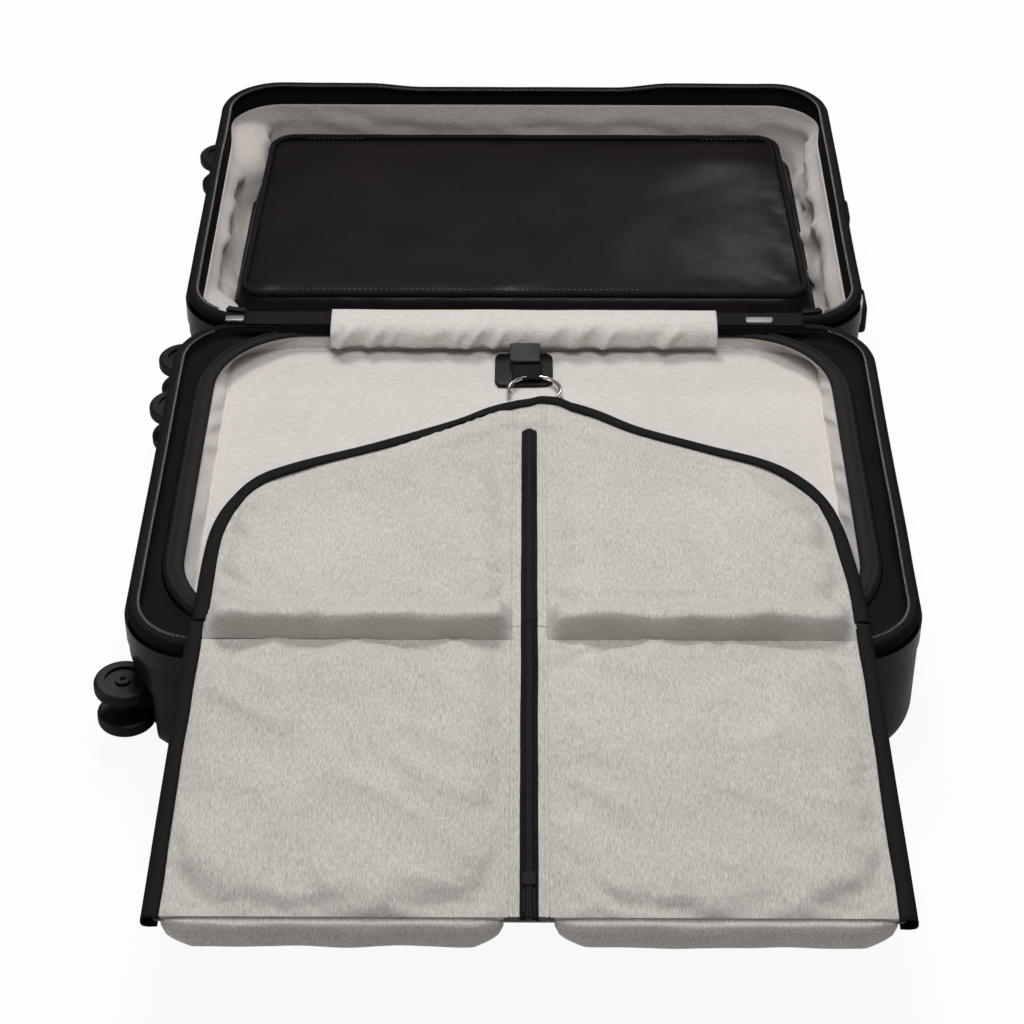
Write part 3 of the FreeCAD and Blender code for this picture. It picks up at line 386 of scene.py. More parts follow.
def select_only(piece: Piece) -> None:
    """Makes a piece the only selected one."""
    bpy.ops.object.select_all(action="DESELECT")
    piece.select_set(True)
    bpy.context.view_layer.objects.active = piece


@contextmanager
def editing(piece: Piece) -> Iterator[None]:
    """Opens a piece in edit mode with everything selected, and closes it again."""
    select_only(piece)
    bpy.ops.object.mode_set(mode="EDIT")
    bpy.ops.mesh.select_all(action="SELECT")
    yield
    bpy.ops.object.mode_set(mode="OBJECT")


def add_piece(name: str, shape: tuple, finish: Finish, thickness: float = 0.0) -> Piece:
    """Makes a smooth mesh piece.

    Args:
        name: the piece's name.
        shape: its points in millimetres about the hinge line, its faces and, where it has them, the
            points' places on the cloth in metres.
        finish: its finish.
        thickness: its thickness in millimetres, half to each side, where it is a sheet.

    Returns:
        The new object.
    """
    points, faces, uvs = (*shape, None)[:3]
    mesh = bpy.data.meshes.new(name)
    mesh.from_pydata((ORIGIN + points * MM).tolist(), [], faces)
    if uvs is not None:
        corner = np.zeros(len(mesh.loops), np.int32)
        mesh.loops.foreach_get("vertex_index", corner)
        spots, longest = uvs[corner], uvs[:, 0].max()
        for face in mesh.polygons:
            span = slice(face.loop_start, face.loop_start + face.loop_total)
            lengths = spots[span, 0]
            if np.ptp(lengths) > 0.5 * longest > 0:
                spots[span, 0] = np.where(lengths < 0.25 * longest, longest, lengths)
        mesh.uv_layers.new(name="cloth").data.foreach_set("uv", spots.astype(np.float32).ravel())
    mesh.polygons.foreach_set("use_smooth", [True] * len(mesh.polygons))
    mesh.materials.append(finish.material)
    piece = bpy.data.objects.new(name, mesh)
    bpy.context.scene.collection.objects.link(piece)
    if thickness:
        select_only(piece)
        modifier = piece.modifiers.new("Solidify", "SOLIDIFY")
        modifier.thickness = thickness * MM
        modifier.offset = 0.0
        bpy.ops.object.modifier_apply(modifier=modifier.name)
    return piece


def settle(piece: Piece, node: str, body: str) -> None:
    """Hides the solid that a piece stands for and sets the piece on the body that it rides."""
    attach(piece, body)
    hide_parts(node)


def pick_edges(piece: Piece, test: Callable) -> None:
    """Selects the edges whose two ends pass a test, in edit mode."""
    bpy.ops.mesh.select_all(action="DESELECT")
    bpy.ops.object.mode_set(mode="OBJECT")
    for edge in piece.data.edges:
        a, b = (piece.data.vertices[i].co for i in edge.vertices)
        edge.select = bool(test(a, b))
    bpy.ops.object.mode_set(mode="EDIT")


def plate(name: str, low: tuple, high: tuple, corner: float, edge: float, finish: Finish) -> Piece:
    """Flat plate with rounded upright corners and a soft top edge, modelled from a cube.

    Args:
        name: the piece's name.
        low: its low corner in millimetres.
        high: its high corner.
        corner: radius of its upright corners.
        edge: radius of its top edge.
        finish: its finish.

    Returns:
        The plate.
    """
    size = (np.array(high) - np.array(low)) * MM
    middle = ORIGIN + (np.array(high) + np.array(low)) / 2 * MM
    bpy.ops.mesh.primitive_cube_add(size=1.0, location=middle.tolist())
    piece = bpy.context.active_object
    piece.name = piece.data.name = name
    piece.scale = size.tolist()
    bpy.ops.object.transform_apply(location=True, rotation=True, scale=True)
    top = float(middle[2] + size[2] / 2)
    with editing(piece):
        bpy.ops.mesh.select_mode(type="EDGE")
        pick_edges(piece, lambda a, b: abs(a.z - b.z) > size[2] / 2)
        bpy.ops.mesh.bevel(offset=corner * MM, segments=6, affect="EDGES")
        pick_edges(piece, lambda a, b: min(a.z, b.z) > top - 1e-5)
        bpy.ops.mesh.bevel(offset=edge * MM, segments=3, affect="EDGES")
    bpy.ops.object.shade_smooth_by_angle(angle=math.radians(40))
    piece.data.materials.append(finish.material)
    return piece


def tilt(piece: Piece, slope: float, from_y: float) -> None:
    """Tilts a plate up towards the hinge from a line in millimetres."""
    for vertex in piece.data.vertices:
        vertex.co.z += slope * (vertex.co.y - ORIGIN[1] - from_y * MM)


def grid_faces(rows: int, columns: int, closed: bool = False, flip: bool = False) -> list:
    """Faces of a grid of points, row after row.

    Args:
        rows: points along the first direction.
        columns: points along the second direction.
        closed: whether the rows join up end to end.
        flip: whether the faces turn over.

    Returns:
        Four corner numbers for each face.
    """
    faces = []
    for i in range(rows if closed else rows - 1):
        after = (i + 1) % rows
        for j in range(columns - 1):
            face = (i * columns + j, after * columns + j, after * columns + j + 1, i * columns + j + 1)
            faces.append(face[::-1] if flip else face)
    return faces


def merge(parts: list) -> tuple:
    """Joins several shapes of points, faces and perhaps cloth places into one."""
    points, faces, uvs, start = [], [], [], 0
    for spots, some, *places in parts:
        points.append(spots)
        faces.extend(tuple(start + k for k in face) for face in some)
        uvs += places
        start += len(spots)
    return np.vstack(points), faces, np.vstack(uvs) if uvs else None


@dataclass(frozen=True)
class Wave:
    """One pattern of waves or folds in cloth: height, length and the place in the noise that it reads."""

    high: float
    size: float | tuple
    seed: float = 0.0
    sharp: float = 2.2

    def read(self, points: Array, shift: float) -> Array:
        """Noise between about -1 and 1 at points in millimetres."""
        spots = np.asarray(points, float) / np.array(self.size) + (self.seed + shift)
        return np.array([noise.noise(spot) for spot in spots])

    def ripple(self, points: Array, shift: float = 0.0) -> Array:
        """Smooth waves, up and down."""
        return self.high * self.read(points, shift)

    def crease(self, points: Array, shift: float = 0.0) -> Array:
        """Sharp-backed folds from 0 up, as cloth makes."""
        return self.high * (1.0 - np.minimum(1.0, self.sharp * np.abs(self.read(points, shift)))) ** 2


def ease(value: Array, start: float, end: float) -> Array:
    """Eases from 0 where a value is at its start to 1 at its end."""
    t = np.clip((value - start) / (end - start), 0.0, 1.0)
    return t * t * (3 - 2 * t)


def bell(value: Array, middle: float, width: float) -> Array:
    """Bell curve of height 1."""
    return np.exp(-(((value - middle) / width) ** 2))


def at_height(flat: Array, z: float) -> Array:
    """Flat points at one height."""
    return np.c_[flat, np.full(len(flat), z)]


def leaning(points: Array, x: float, y: float) -> Array:
    """Points moved sideways by shares of their height."""
    return points + points[:, 2:] * np.array([x, y, 0.0])


def unit(ways: Array) -> Array:
    """Directions at length 1."""
    return ways / np.linalg.norm(ways, axis=1)[:, None]


def run_length(path: Array) -> Array:
    """Distance along a path at each of its points."""
    return np.r_[0, np.cumsum(np.linalg.norm(np.diff(path, axis=0), axis=1))]


def resample(path: Array, step: float) -> Array:
    """Points along a polyline at even spacing, ends kept."""
    run = run_length(path)
    spots = np.linspace(0, run[-1], max(2, int(round(run[-1] / step)) + 1))
    return np.c_[tuple(np.interp(spots, run, path[:, k]) for k in range(path.shape[1]))]


def flowing(points: tuple, step: float) -> Array:
    """Smooth curve through points, at even spacing."""
    p = np.array(points, float)
    p = np.vstack([2 * p[0] - p[1], p, 2 * p[-1] - p[-2]])
    t = np.linspace(0, 1, 12, endpoint=False)[:, None]
    parts = []
    for a, b, c, d in zip(p[:-3], p[1:-2], p[2:-1], p[3:]):
        bend, twist = 2 * a - 5 * b + 4 * c - d, 3 * b - a - 3 * c + d
        parts.append(0.5 * (2 * b + (c - a) * t + bend * t**2 + twist * t**3))
    return resample(np.vstack([*parts, p[-2:-1]]), step)


def left_of(path: Array) -> Array:
    """Unit direction to the left of a path at each of its points."""
    way = unit(np.gradient(path, axis=0))
    return np.c_[-way[:, 1], way[:, 0]]


def copies(path: Array, left: Array, shape: Array, faces: list) -> tuple:
    """Sets copies of a small shape along a path.

    Args:
        path: where each copy stands, in x, y and z.
        left: the direction to the path's left there.
        shape: points to the left of the path, along it and up.
        faces: corner numbers of each face.

    Returns:
        Points and faces of all the copies.
    """
    parts = []
    for spot, (x, y) in zip(path, left):
        flat = spot[:2] + shape[:, :1] * np.array([x, y]) + shape[:, 1:2] * np.array([y, -x])
        parts.append((np.c_[flat, shape[:, 2] + spot[2]], faces))
    return merge(parts)[:2]


def rounded_loop(box: tuple, radius: float, counts: tuple) -> Array:
    """Rounded rectangle, from its low y side's start counter-clockwise.

    Args:
        box: low x, high x, low y and high y.
        radius: corner radius.
        counts: points along an x side, a y side and a corner.

    Returns:
        Points with x and y.
    """
    x0, x1, y0, y1 = box
    r = max(0.05, min(radius, (x1 - x0) / 2 - 0.02, (y1 - y0) / 2 - 0.02))
    sides = (
        ((x0 + r, y0), (x1 - r, y0), counts[0], (x1 - r, y0 + r), -90),
        ((x1, y0 + r), (x1, y1 - r), counts[1], (x1 - r, y1 - r), 0),
        ((x1 - r, y1), (x0 + r, y1), counts[0], (x0 + r, y1 - r), 90),
        ((x0, y1 - r), (x0, y0 + r), counts[1], (x0 + r, y0 + r), 180),
    )
    points = []
    for start, end, count, centre, degrees in sides:
        for t in np.arange(count) / count:
            points.append((start[0] + (end[0] - start[0]) * t, start[1] + (end[1] - start[1]) * t))
        for t in np.arange(counts[2]) / counts[2]:
            angle = math.radians(degrees + 90 * t)
            points.append((centre[0] + r * math.cos(angle), centre[1] + r * math.sin(angle)))
    return np.array(points)


@dataclass(frozen=True)
class Case:
    """Outline of the two halves, in millimetres about the hinge line."""

    half_x: float = 325.0
    y_in: float = 1.5
    y_out: float = 471.5
    corner: float = 62.0
    least_corner: float = 6.0
    counts: tuple = (84, 56, 14)
    tip_in: float = 8.0
    tip_loss: float = 0.75
    tip_y: tuple = (370.0, 440.0)

    def tip(self, y: Array) -> Array:
        """How far the far rim's tape and lining tip inwards, by distance from the hinge."""
        return self.tip_in * (1.0 - self.tip_loss * ease(y, *self.tip_y))

    def loop(self, inset: float) -> Array:
        """Outline moved inwards."""
        x = self.half_x - inset
        radius = max(self.corner - inset, self.least_corner)
        return rounded_loop((-x, x, self.y_in + inset, self.y_out - inset), radius, self.counts)

    def rings(self, steps: tuple) -> list:
        """Outlines at pairs of inset and height."""
        return [at_height(self.loop(inset), z) for inset, z in steps]

    def inward(self) -> Array:
        """Inward direction at each point of the outline."""
        return (self.loop(10.0) - self.loop(0.0)) / 10.0

    def loft(self, loops: list, side: Side) -> tuple:
        """Sheet through a list of loops.

        Args:
            loops: arrays of x, y and z, all of one length.
            side: the half; the near half is mirrored.

        Returns:
            The points, the faces, the cloth places and the number of each point's loop.
        """
        stack = np.stack(loops, axis=1)
        rows, columns = stack.shape[:2]
        points = stack.reshape(-1, 3).copy()
        if side is Side.NEAR:
            points[:, 1] *= -1
        around = run_length(np.vstack([stack[:, 0], stack[:1, 0]]))[:-1]
        uvs = np.c_[np.repeat(around, columns), np.tile(run_length(stack[0]), rows)] * MM
        level = np.tile(np.arange(columns), rows)
        return points, grid_faces(rows, columns, True, side is Side.NEAR), uvs, level


CASE = Case()


@dataclass
class Rim:
    """Zip tape that stands round one half's edge, with its teeth."""

    side: Side
    sag: float
    sag_middle: float = -6.0
    sag_x: tuple = (165.0, 105.0)
    sag_y: tuple = (380.0, 460.0)
    rise_z: tuple = (116.0, 138.0)
    tip_z: tuple = (132.0, 116.0)
    tape_thickness: float = 1.3
    profile: tuple = (
        *((3.9, 104.0), (3.6, 118.0), (2.4, 127.5), (1.4, 132.6), (1.5, 136.0)),
        *((2.9, 138.3), (5.2, 139.1), (8.0, 138.7), (9.6, 137.8)),
    )
    tooth_size: tuple = (3.6, 1.5, 1.9)
    tooth_bevel: float = 0.45
    tooth_pitch: float = 2.5
    teeth_inset: float = 10.2
    teeth_z: float = 138.9
    unevenness: Wave = Wave(0.9, 90.0, 3.3)
    sway: Wave = Wave(1.1, 120.0, 8.1)

    def named(self, what: str) -> str:
        """Name of something on this half."""
        return f"{self.side.name.lower()}_{what}"

    def dip(self, base: Array) -> Array:
        """How far the soft tape sinks at each point of the outline."""
        x, y = base.T
        sag = self.sag * ease(y, *self.sag_y) * ease(np.abs(x - self.sag_middle), *self.sag_x)
        return sag + np.abs(self.unevenness.ripple(at_height(base, 0.0), self.side.value))

    def lean(self, base: Array) -> Array:
        """How far the tape's top leans inwards at each point of the outline."""
        return self.sway.ripple(at_height(base, 0.0), self.side.value)

    def tape(self) -> Piece:
        """Builds the tape."""
        base, inward = CASE.loop(0.0), CASE.inward()
        dip, lean = self.dip(base), self.lean(base)
        loops = []
        for inset, z in self.profile:
            rise = ease(z, *self.rise_z)
            tip = CASE.tip(base[:, 1]) * ease(z, *self.tip_z) * (self.side is Side.FAR)
            spot = base + inward * (inset + lean * rise + tip)[:, None]
            loops.append(np.c_[spot, z - dip * rise])
        shape = CASE.loft(loops, self.side)
        piece = add_piece(self.named("zip_tape_cloth"), shape[:3], Finish.TAPE, self.tape_thickness)
        settle(piece, self.named("zip_tape"), self.named("half"))
        self.named("shell")
        return piece

    def tooth(self) -> tuple:
        """Shapes one tooth from a bevelled cube.

        Returns:
            Its points in millimetres, with x across the tape and y along it, and its faces.
        """
        bpy.ops.mesh.primitive_cube_add(size=1.0)
        cube = bpy.context.active_object
        with editing(cube):
            bpy.ops.transform.resize(value=self.tooth_size)
            bpy.ops.mesh.bevel(offset=self.tooth_bevel, segments=1, affect="EDGES")
        points = np.array([v.co[:] for v in cube.data.vertices])
        faces = [tuple(f.vertices) for f in cube.data.polygons]
        bpy.data.objects.remove(cube)
        return points, faces

    def teeth(self) -> Piece:
        """Sets copies of one tooth along three sides of the rim."""
        loop, skip = CASE.loop(self.teeth_inset), CASE.counts[2] // 3
        path = resample(loop[CASE.counts[0] + skip : len(loop) - skip], self.tooth_pitch)
        left = left_of(path)
        base = path - left * self.teeth_inset
        path = np.c_[path + left * self.lean(base)[:, None], self.teeth_z - self.dip(base)]
        points, faces = copies(path, left, *self.tooth())
        if self.side is Side.NEAR:
            points[:, 1] *= -1
            faces = [face[::-1] for face in faces]
        piece = add_piece(self.named("zip_teeth"), (points, faces), Finish.TEETH)
        settle(piece, self.named("zip_chain"), self.named("half"))
        return piece

    def build(self) -> list:
        """Builds the tape and its teeth."""
        return [self.tape(), self.teeth()]


@dataclass
class Tray:
    """Grey divider tray of the near half and the black zip band round it."""

    box: tuple = (-299.0, 297.0, 6.5, 447.0)
    corner: float = 98.0
    band: float = 15.0
    band_z: float = 131.0
    floor: tuple = (-276.0, 275.0, 13.5, 424.0)
    floor_corner: float = 24.0
    floor_z: float = 109.0
    middle: tuple = (0.0, -235.0)
    cloth: float = 1.0
    hinge_y: float = -60.0
    wall_levels: tuple = ((0.0, 2.5), (8.6, 6.1))
    floor_levels: tuple = (10.0, 12.0)
    groove: float = 1.5
    groove_level: float = 8.9
    slope: float = 0.14
    slope_y: float = -67.5
    slope_long: float = 56.0
    patch_dip: float = 4.5
    patch_x: tuple = (27.0, 21.0)
    patch_y: tuple = ((-67.0, -61.0), (-24.0, -30.0))
    coil: tuple = (
        *((-3.0, -4.0), (-1.0, -0.4), (0.4, 0.8), (1.2, 2.6), (2.4, 3.0), (3.6, 2.2)),
        *((4.4, 0.6), (5.4, 1.2), (8.0, 1.9), (11.0, 1.8), (13.5, 0.8), (15.5, -1.2)),
    )
    wall_fold: Wave = Wave(3.6, (40.0, 46.0, 160.0), 12.4)
    wall_wave: Wave = Wave(2.2, (24.0, 26.0, 80.0), 7.7)
    wall_lift: Wave = Wave(1.2, 40.0, 5.1)
    floor_wave: Wave = Wave(0.5, (90.0, 45.0, 50.0), 3.9)
    floor_fold: Wave = Wave(1.0, (140.0, 60.0, 60.0), 21.3)
    gathers: Wave = Wave(1.6, (15.0, 40.0, 30.0), 18.2)
    band_wave: Wave = Wave(1.5, 75.0, 15.5)

    def edge(self, inset: float, z: float) -> Array:
        """Outline of the band moved inwards, at one height."""
        x0, x1, y0, y1 = self.box
        box = (x0 + inset, x1 - inset, y0 + 0.5 * inset, y1 - inset)
        return at_height(rounded_loop(box, self.corner - inset, CASE.counts), z)

    def floor_loop(self, inset: float) -> Array:
        """Outline of the floor moved inwards."""
        x0, x1, y0, y1 = self.floor
        box = (x0 + inset, x1 - inset, y0 + inset, y1 - inset)
        radius = max(self.floor_corner - inset, CASE.least_corner)
        return at_height(rounded_loop(box, radius, CASE.counts), self.floor_z)

    def drape(self, points: Array, level: Array) -> None:
        """Folds the walls and shapes the floor.

        Args:
            points: the tray's points, which are moved.
            level: the number of each point's loop, from the band inwards.
        """
        wall = math.prod(ease(level, *span) for span in self.wall_levels)
        away = unit(np.array(self.middle) - points[:, :2])
        slant = leaning(points, 0.0, 1.6)
        folds = self.wall_fold.crease(slant) + self.wall_wave.ripple(slant) - 1.0
        by_hinge = points[:, 1] > self.hinge_y
        folds = np.where(by_hinge, np.maximum(folds, 0.0) * 0.6, folds)
        points[:, :2] += away * (wall * folds)[:, None]
        points[:, 2] += wall * self.wall_lift.ripple(points)
        floor = ease(level, *self.floor_levels)
        sink = 0.4 + self.floor_wave.ripple(points) - self.floor_fold.crease(points)
        pucker = bell(points[:, 1], -40.0, math.sqrt(260.0)) * self.gathers.ripple(points)
        points[:, 2] += floor * np.clip(sink + pucker, -2.4, 0.9)
        points[:, 2] -= self.groove * bell(level, self.groove_level, math.sqrt(0.35))
        x, y = np.abs(points[:, 0]), points[:, 1]
        slope = self.slope * np.clip(y - self.slope_y, 0.0, self.slope_long) * ease(x, 272.0, 212.0)
        points[:, 2] += slope * ease(points[:, 2], 128.0, 114.0)
        under_patch = ease(x, *self.patch_x) * math.prod(ease(y, *span) for span in self.patch_y)
        points[:, 2] -= self.patch_dip * floor * under_patch

    def panel(self) -> Piece:
        """Builds the cloth tray."""
        top, foot = self.edge(self.band - 2.0, self.band_z - 1.2), self.floor_loop(0.0)
        loops = [top * (1 - t) + foot * t for t in np.linspace(0, 1, 9)]
        loops += [self.floor_loop(inset) for inset in (1.6, 3.4, 6.0, *np.arange(10.0, 192.0, 6.5))]
        points, faces, uvs, level = CASE.loft(loops, Side.NEAR)
        self.drape(points, level)
        faces.append(tuple(range(len(loops) - 1, len(points), len(loops))))
        piece = add_piece("tray_cloth", (points, faces, uvs), Finish.TRAY, self.cloth)
        settle(piece, "tray_panel", "near_half")
        return piece

    def tape(self) -> Piece:
        """Dark zip band between the lining and the tray, with a raised line of coil."""
        loops = []
        for inset, rise in self.coil:
            spots = self.edge(inset, self.band_z)
            spots[:, 2] += rise + self.band_wave.ripple(spots)
            loops.append(spots)
        piece = add_piece("tray_band_tape", CASE.loft(loops, Side.NEAR)[:3], Finish.BAND, self.cloth)
        settle(piece, "tray_zip_band", "near_half")
        return piece

    def build(self) -> list:
        """Builds the tray and its band."""
        return [self.panel(), self.tape()]


@dataclass
class Linings:
    """Cloth tubs of the two halves, as pairs of inset and height."""

    cloth: float = 1.0
    middle: float = 234.7
    near_rim: tuple = ((7.2, 133.0), (8.6, 137.4), (10.4, 135.6), (12.0, 131.6))
    near_wall: tuple = ((9.0, 122.0), (7.0, 90.0), (7.2, 50.0), (12.0, 22.0), (26.0, 9.5))
    near_floor: float = 7.0
    shelf_wave: Wave = Wave(2.2, (55.0, 55.0, 40.0), 5.7)
    far_wall: tuple = (
        *((5.6, 114.5), (6.4, 112.0), (7.6, 108.5), (9.2, 104.0), (11.2, 99.0), (13.6, 93.0), (16.2, 86.5)),
        *((19.2, 79.0), (22.4, 71.0), (26.0, 63.0), (30.0, 55.0), (35.0, 48.0), (42.0, 41.5)),
        *((52.0, 37.4), (64.0, 35.8)),
    )
    far_floor: float = 35.4
    deep_fold: Wave = Wave(11.0, (74.0, 74.0, 200.0), 1.7)
    small_fold: Wave = Wave(4.0, (40.0, 40.0, 110.0), 9.2)
    broad: Wave = Wave(5.0, (120.0, 120.0, 90.0), 4.4)
    drift: Wave = Wave(1.0, 130.0, 12.6)
    drop: Wave = Wave(2.4, 40.0, 2.2)
    floor_wave: Wave = Wave(0.9, 70.0, 6.1)
    cup_fold: Wave = Wave(5.0, (34.0, 44.0, 60.0))
    cups_y: tuple = (51.5, 421.5)
    cups_z: float = 48.0
    cup_wall: float = -324.0
    cup_depth: float = 44.0
    cup_reach: tuple = (108.0, 54.0)
    cup_z: tuple = (122.0, 92.0)
    shelf_z: tuple = (99.0, 80.0)
    shelf_drift: float = 9.0
    tip_z: tuple = (58.0, 102.0)
    back_y: tuple = (400.0, 445.0)
    back_room: tuple = (-7.0, 0.0)

    def near(self) -> Piece:
        """Black lining: a slack shelf from the rim to the band, the wall and the floor."""
        loops = CASE.rings(self.near_rim)
        rim, band, shelf = loops[-1], Tray().edge(1.0, 127.4), len(loops)
        loops += [rim * (1 - t) + band * t for t in (0.2, 0.4, 0.6, 0.8, 1.0)]
        loops += [Tray().edge(3.0, 126.0), *CASE.rings(self.near_wall)]
        loops += CASE.rings([(i, self.near_floor) for i in (*np.arange(44.0, 234.0, 19.0), self.middle)])
        points, faces, uvs, level = CASE.loft(loops, Side.NEAR)
        slack = ((level >= shelf) & (level < shelf + 4)) * 1.0
        points[:, 2] += slack * (self.shelf_wave.ripple(points) - 1.5)
        piece = add_piece("near_lining_cloth", (points, faces, uvs), Finish.BLACK_LINING, self.cloth)
        settle(piece, "near_lining", "near_half")
        return piece

    def drape(self, points: Array, level: Array) -> None:
        """Lets the far lining's walls hang in folds and bulge over the caster cups.

        Args:
            points: the lining's points, which are moved.
            level: the number of each point's loop, from the rim inwards.
        """
        walls, loops = len(self.far_wall), level.max() + 1
        slack = ease(level, 0.5, 6.5) * ease(level, walls + 1.0, walls - 3.0)
        lean, z = leaning(points, 1.5, 0.6), points[:, 2]
        folds = self.deep_fold.crease(lean) + self.small_fold.crease(lean) + self.broad.ripple(points) - 5.0
        drift = self.drift.ripple(points * np.array([1.0, 1.0, 0.0]))
        high, low = (middle + self.shelf_drift * drift for middle in self.shelf_z)
        shelf = (6.0 + 7.0 * drift) * bell(z, high, 6.5) - 6.0 * bell(z, low, 10.0)
        tip = CASE.tip(np.repeat(CASE.loop(0.0)[:, 1], loops)) * ease(z, *self.tip_z)
        drape = slack * (folds + shelf)
        back = ease(points[:, 1], *self.back_y)
        drape += back * (np.clip(0.8 * drape - 4.0 * slack, *self.back_room) - drape)
        points[:, :2] += np.repeat(CASE.inward(), loops, axis=0) * (drape + tip)[:, None]
        points[:, 2] += slack * self.drop.ripple(points)
        for y in self.cups_y:
            away = np.hypot(points[:, 1] - y, points[:, 2] - self.cups_z)
            cup = ease(away, *self.cup_reach) * ease(points[:, 2], *self.cup_z)
            out = self.cup_wall + cup * (self.cup_depth + self.cup_fold.crease(lean, y))
            x = points[:, 0]
            points[:, 0] = np.where(x < -200.0, np.maximum(x, out), x)
        points[:, 2] += (level > walls) * (0.4 + self.floor_wave.ripple(points))

    def far(self) -> Piece:
        """Grey lining that hangs slack from the rim to the floor."""
        loops = CASE.rings(self.far_wall)
        loops += CASE.rings([(i, self.far_floor) for i in (*np.arange(76.0, 234.0, 12.0), self.middle)])
        points, faces, uvs, level = CASE.loft(loops, Side.FAR)
        self.drape(points, level)
        piece = add_piece("far_lining_cloth", (points, faces, uvs), Finish.LINING, self.cloth)
        settle(piece, "far_lining", "far_half")
        return piece

    def build(self) -> list:
        """Builds both linings."""
        return [self.near(), self.far()]


@dataclass
class Hinge:
    """Webbing along the hinge and the gathered cloth over its middle."""

    half_length: float = 263.0
    flap_half: float = 181.0
    gather_drop: tuple = (0.3, 0.75)
    strap_x: float = 3.0
    strap_wide: float = 22.0
    axis: tuple = (0.0, 0.0, 0.1405)
    bend: tuple = (0.0, 0.006, 0.0)
    route: tuple = (
        *((13.0, 141.4), (11.0, 143.2), (5.0, 144.2), (-5.0, 144.0), (-13.0, 142.8), (-18.0, 140.4)),
        *((-21.0, 137.4), (-23.2, 133.0), (-24.6, 128.4), (-24.2, 125.2), (-20.5, 123.8)),
    )
    web_wave: Wave = Wave(0.5, (50.0, 30.0, 30.0), 31.0)
    small_gather: Wave = Wave(2.8, (15.0, 30.0, 60.0), 2.6)
    deep_gather: Wave = Wave(4.2, (27.0, 30.0, 45.0), 14.9)
    hem_wave: Wave = Wave(0.9, (24.0, 30.0, 40.0), 9.9)
    top_wave: Wave = Wave(0.9, (60.0, 9.0, 14.0), 5.2)

    def webbing(self) -> Piece:
        """Black tape over both rims."""
        xs, ys = np.linspace(-self.half_length, self.half_length, 120), np.linspace(-10.0, 12.0, 13)
        points = np.array([(x, y, 141.0 - 0.006 * y * y) for x in xs for y in ys])
        points[:, 2] += self.web_wave.ripple(points)
        uvs = (points[:, :2] - points[:, :2].min(0)) * MM
        piece = add_piece("hinge_webbing", (points, grid_faces(len(xs), len(ys)), uvs), Finish.BINDING, 1.0)
        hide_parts("hinge_tape")
        return piece

    def flap(self) -> Piece:
        """Grey cloth that folds over the hinge and hangs gathered into the tray."""
        route = resample(np.array(self.route), 1.6)
        xs = np.linspace(-self.flap_half, self.flap_half, 190)
        points = np.array([(x, y, z) for x in xs for y, z in route])
        drop = np.tile(np.linspace(0, 1, len(route)), len(xs))
        spots = np.c_[points[:, 0] + 34.0 * drop, np.zeros(len(points)), drop * 30.0]
        by_strap = np.exp(-(((points[:, 0] - self.strap_x) / self.strap_wide) ** 4))
        gather = ease(drop, *self.gather_drop) * (1.0 - 0.75 * by_strap)
        points[:, 1] -= gather * (self.small_gather.ripple(spots) + self.deep_gather.crease(spots) - 1.2)
        points[:, 2] += gather * self.hem_wave.ripple(spots) + self.top_wave.ripple(spots)
        uvs = np.c_[points[:, 0] - points[:, 0].min(), drop * 60.0] * MM
        piece = add_piece("hinge_cloth", (points, grid_faces(len(xs), len(route)), uvs), Finish.TRAY, 1.2)
        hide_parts("hinge_flap")
        return piece

    def build(self) -> list:
        """Builds the webbing and the cloth that lie over the hinge."""
        pieces = [self.webbing(), self.flap()]
        for piece in pieces:
            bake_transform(piece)
        return pieces


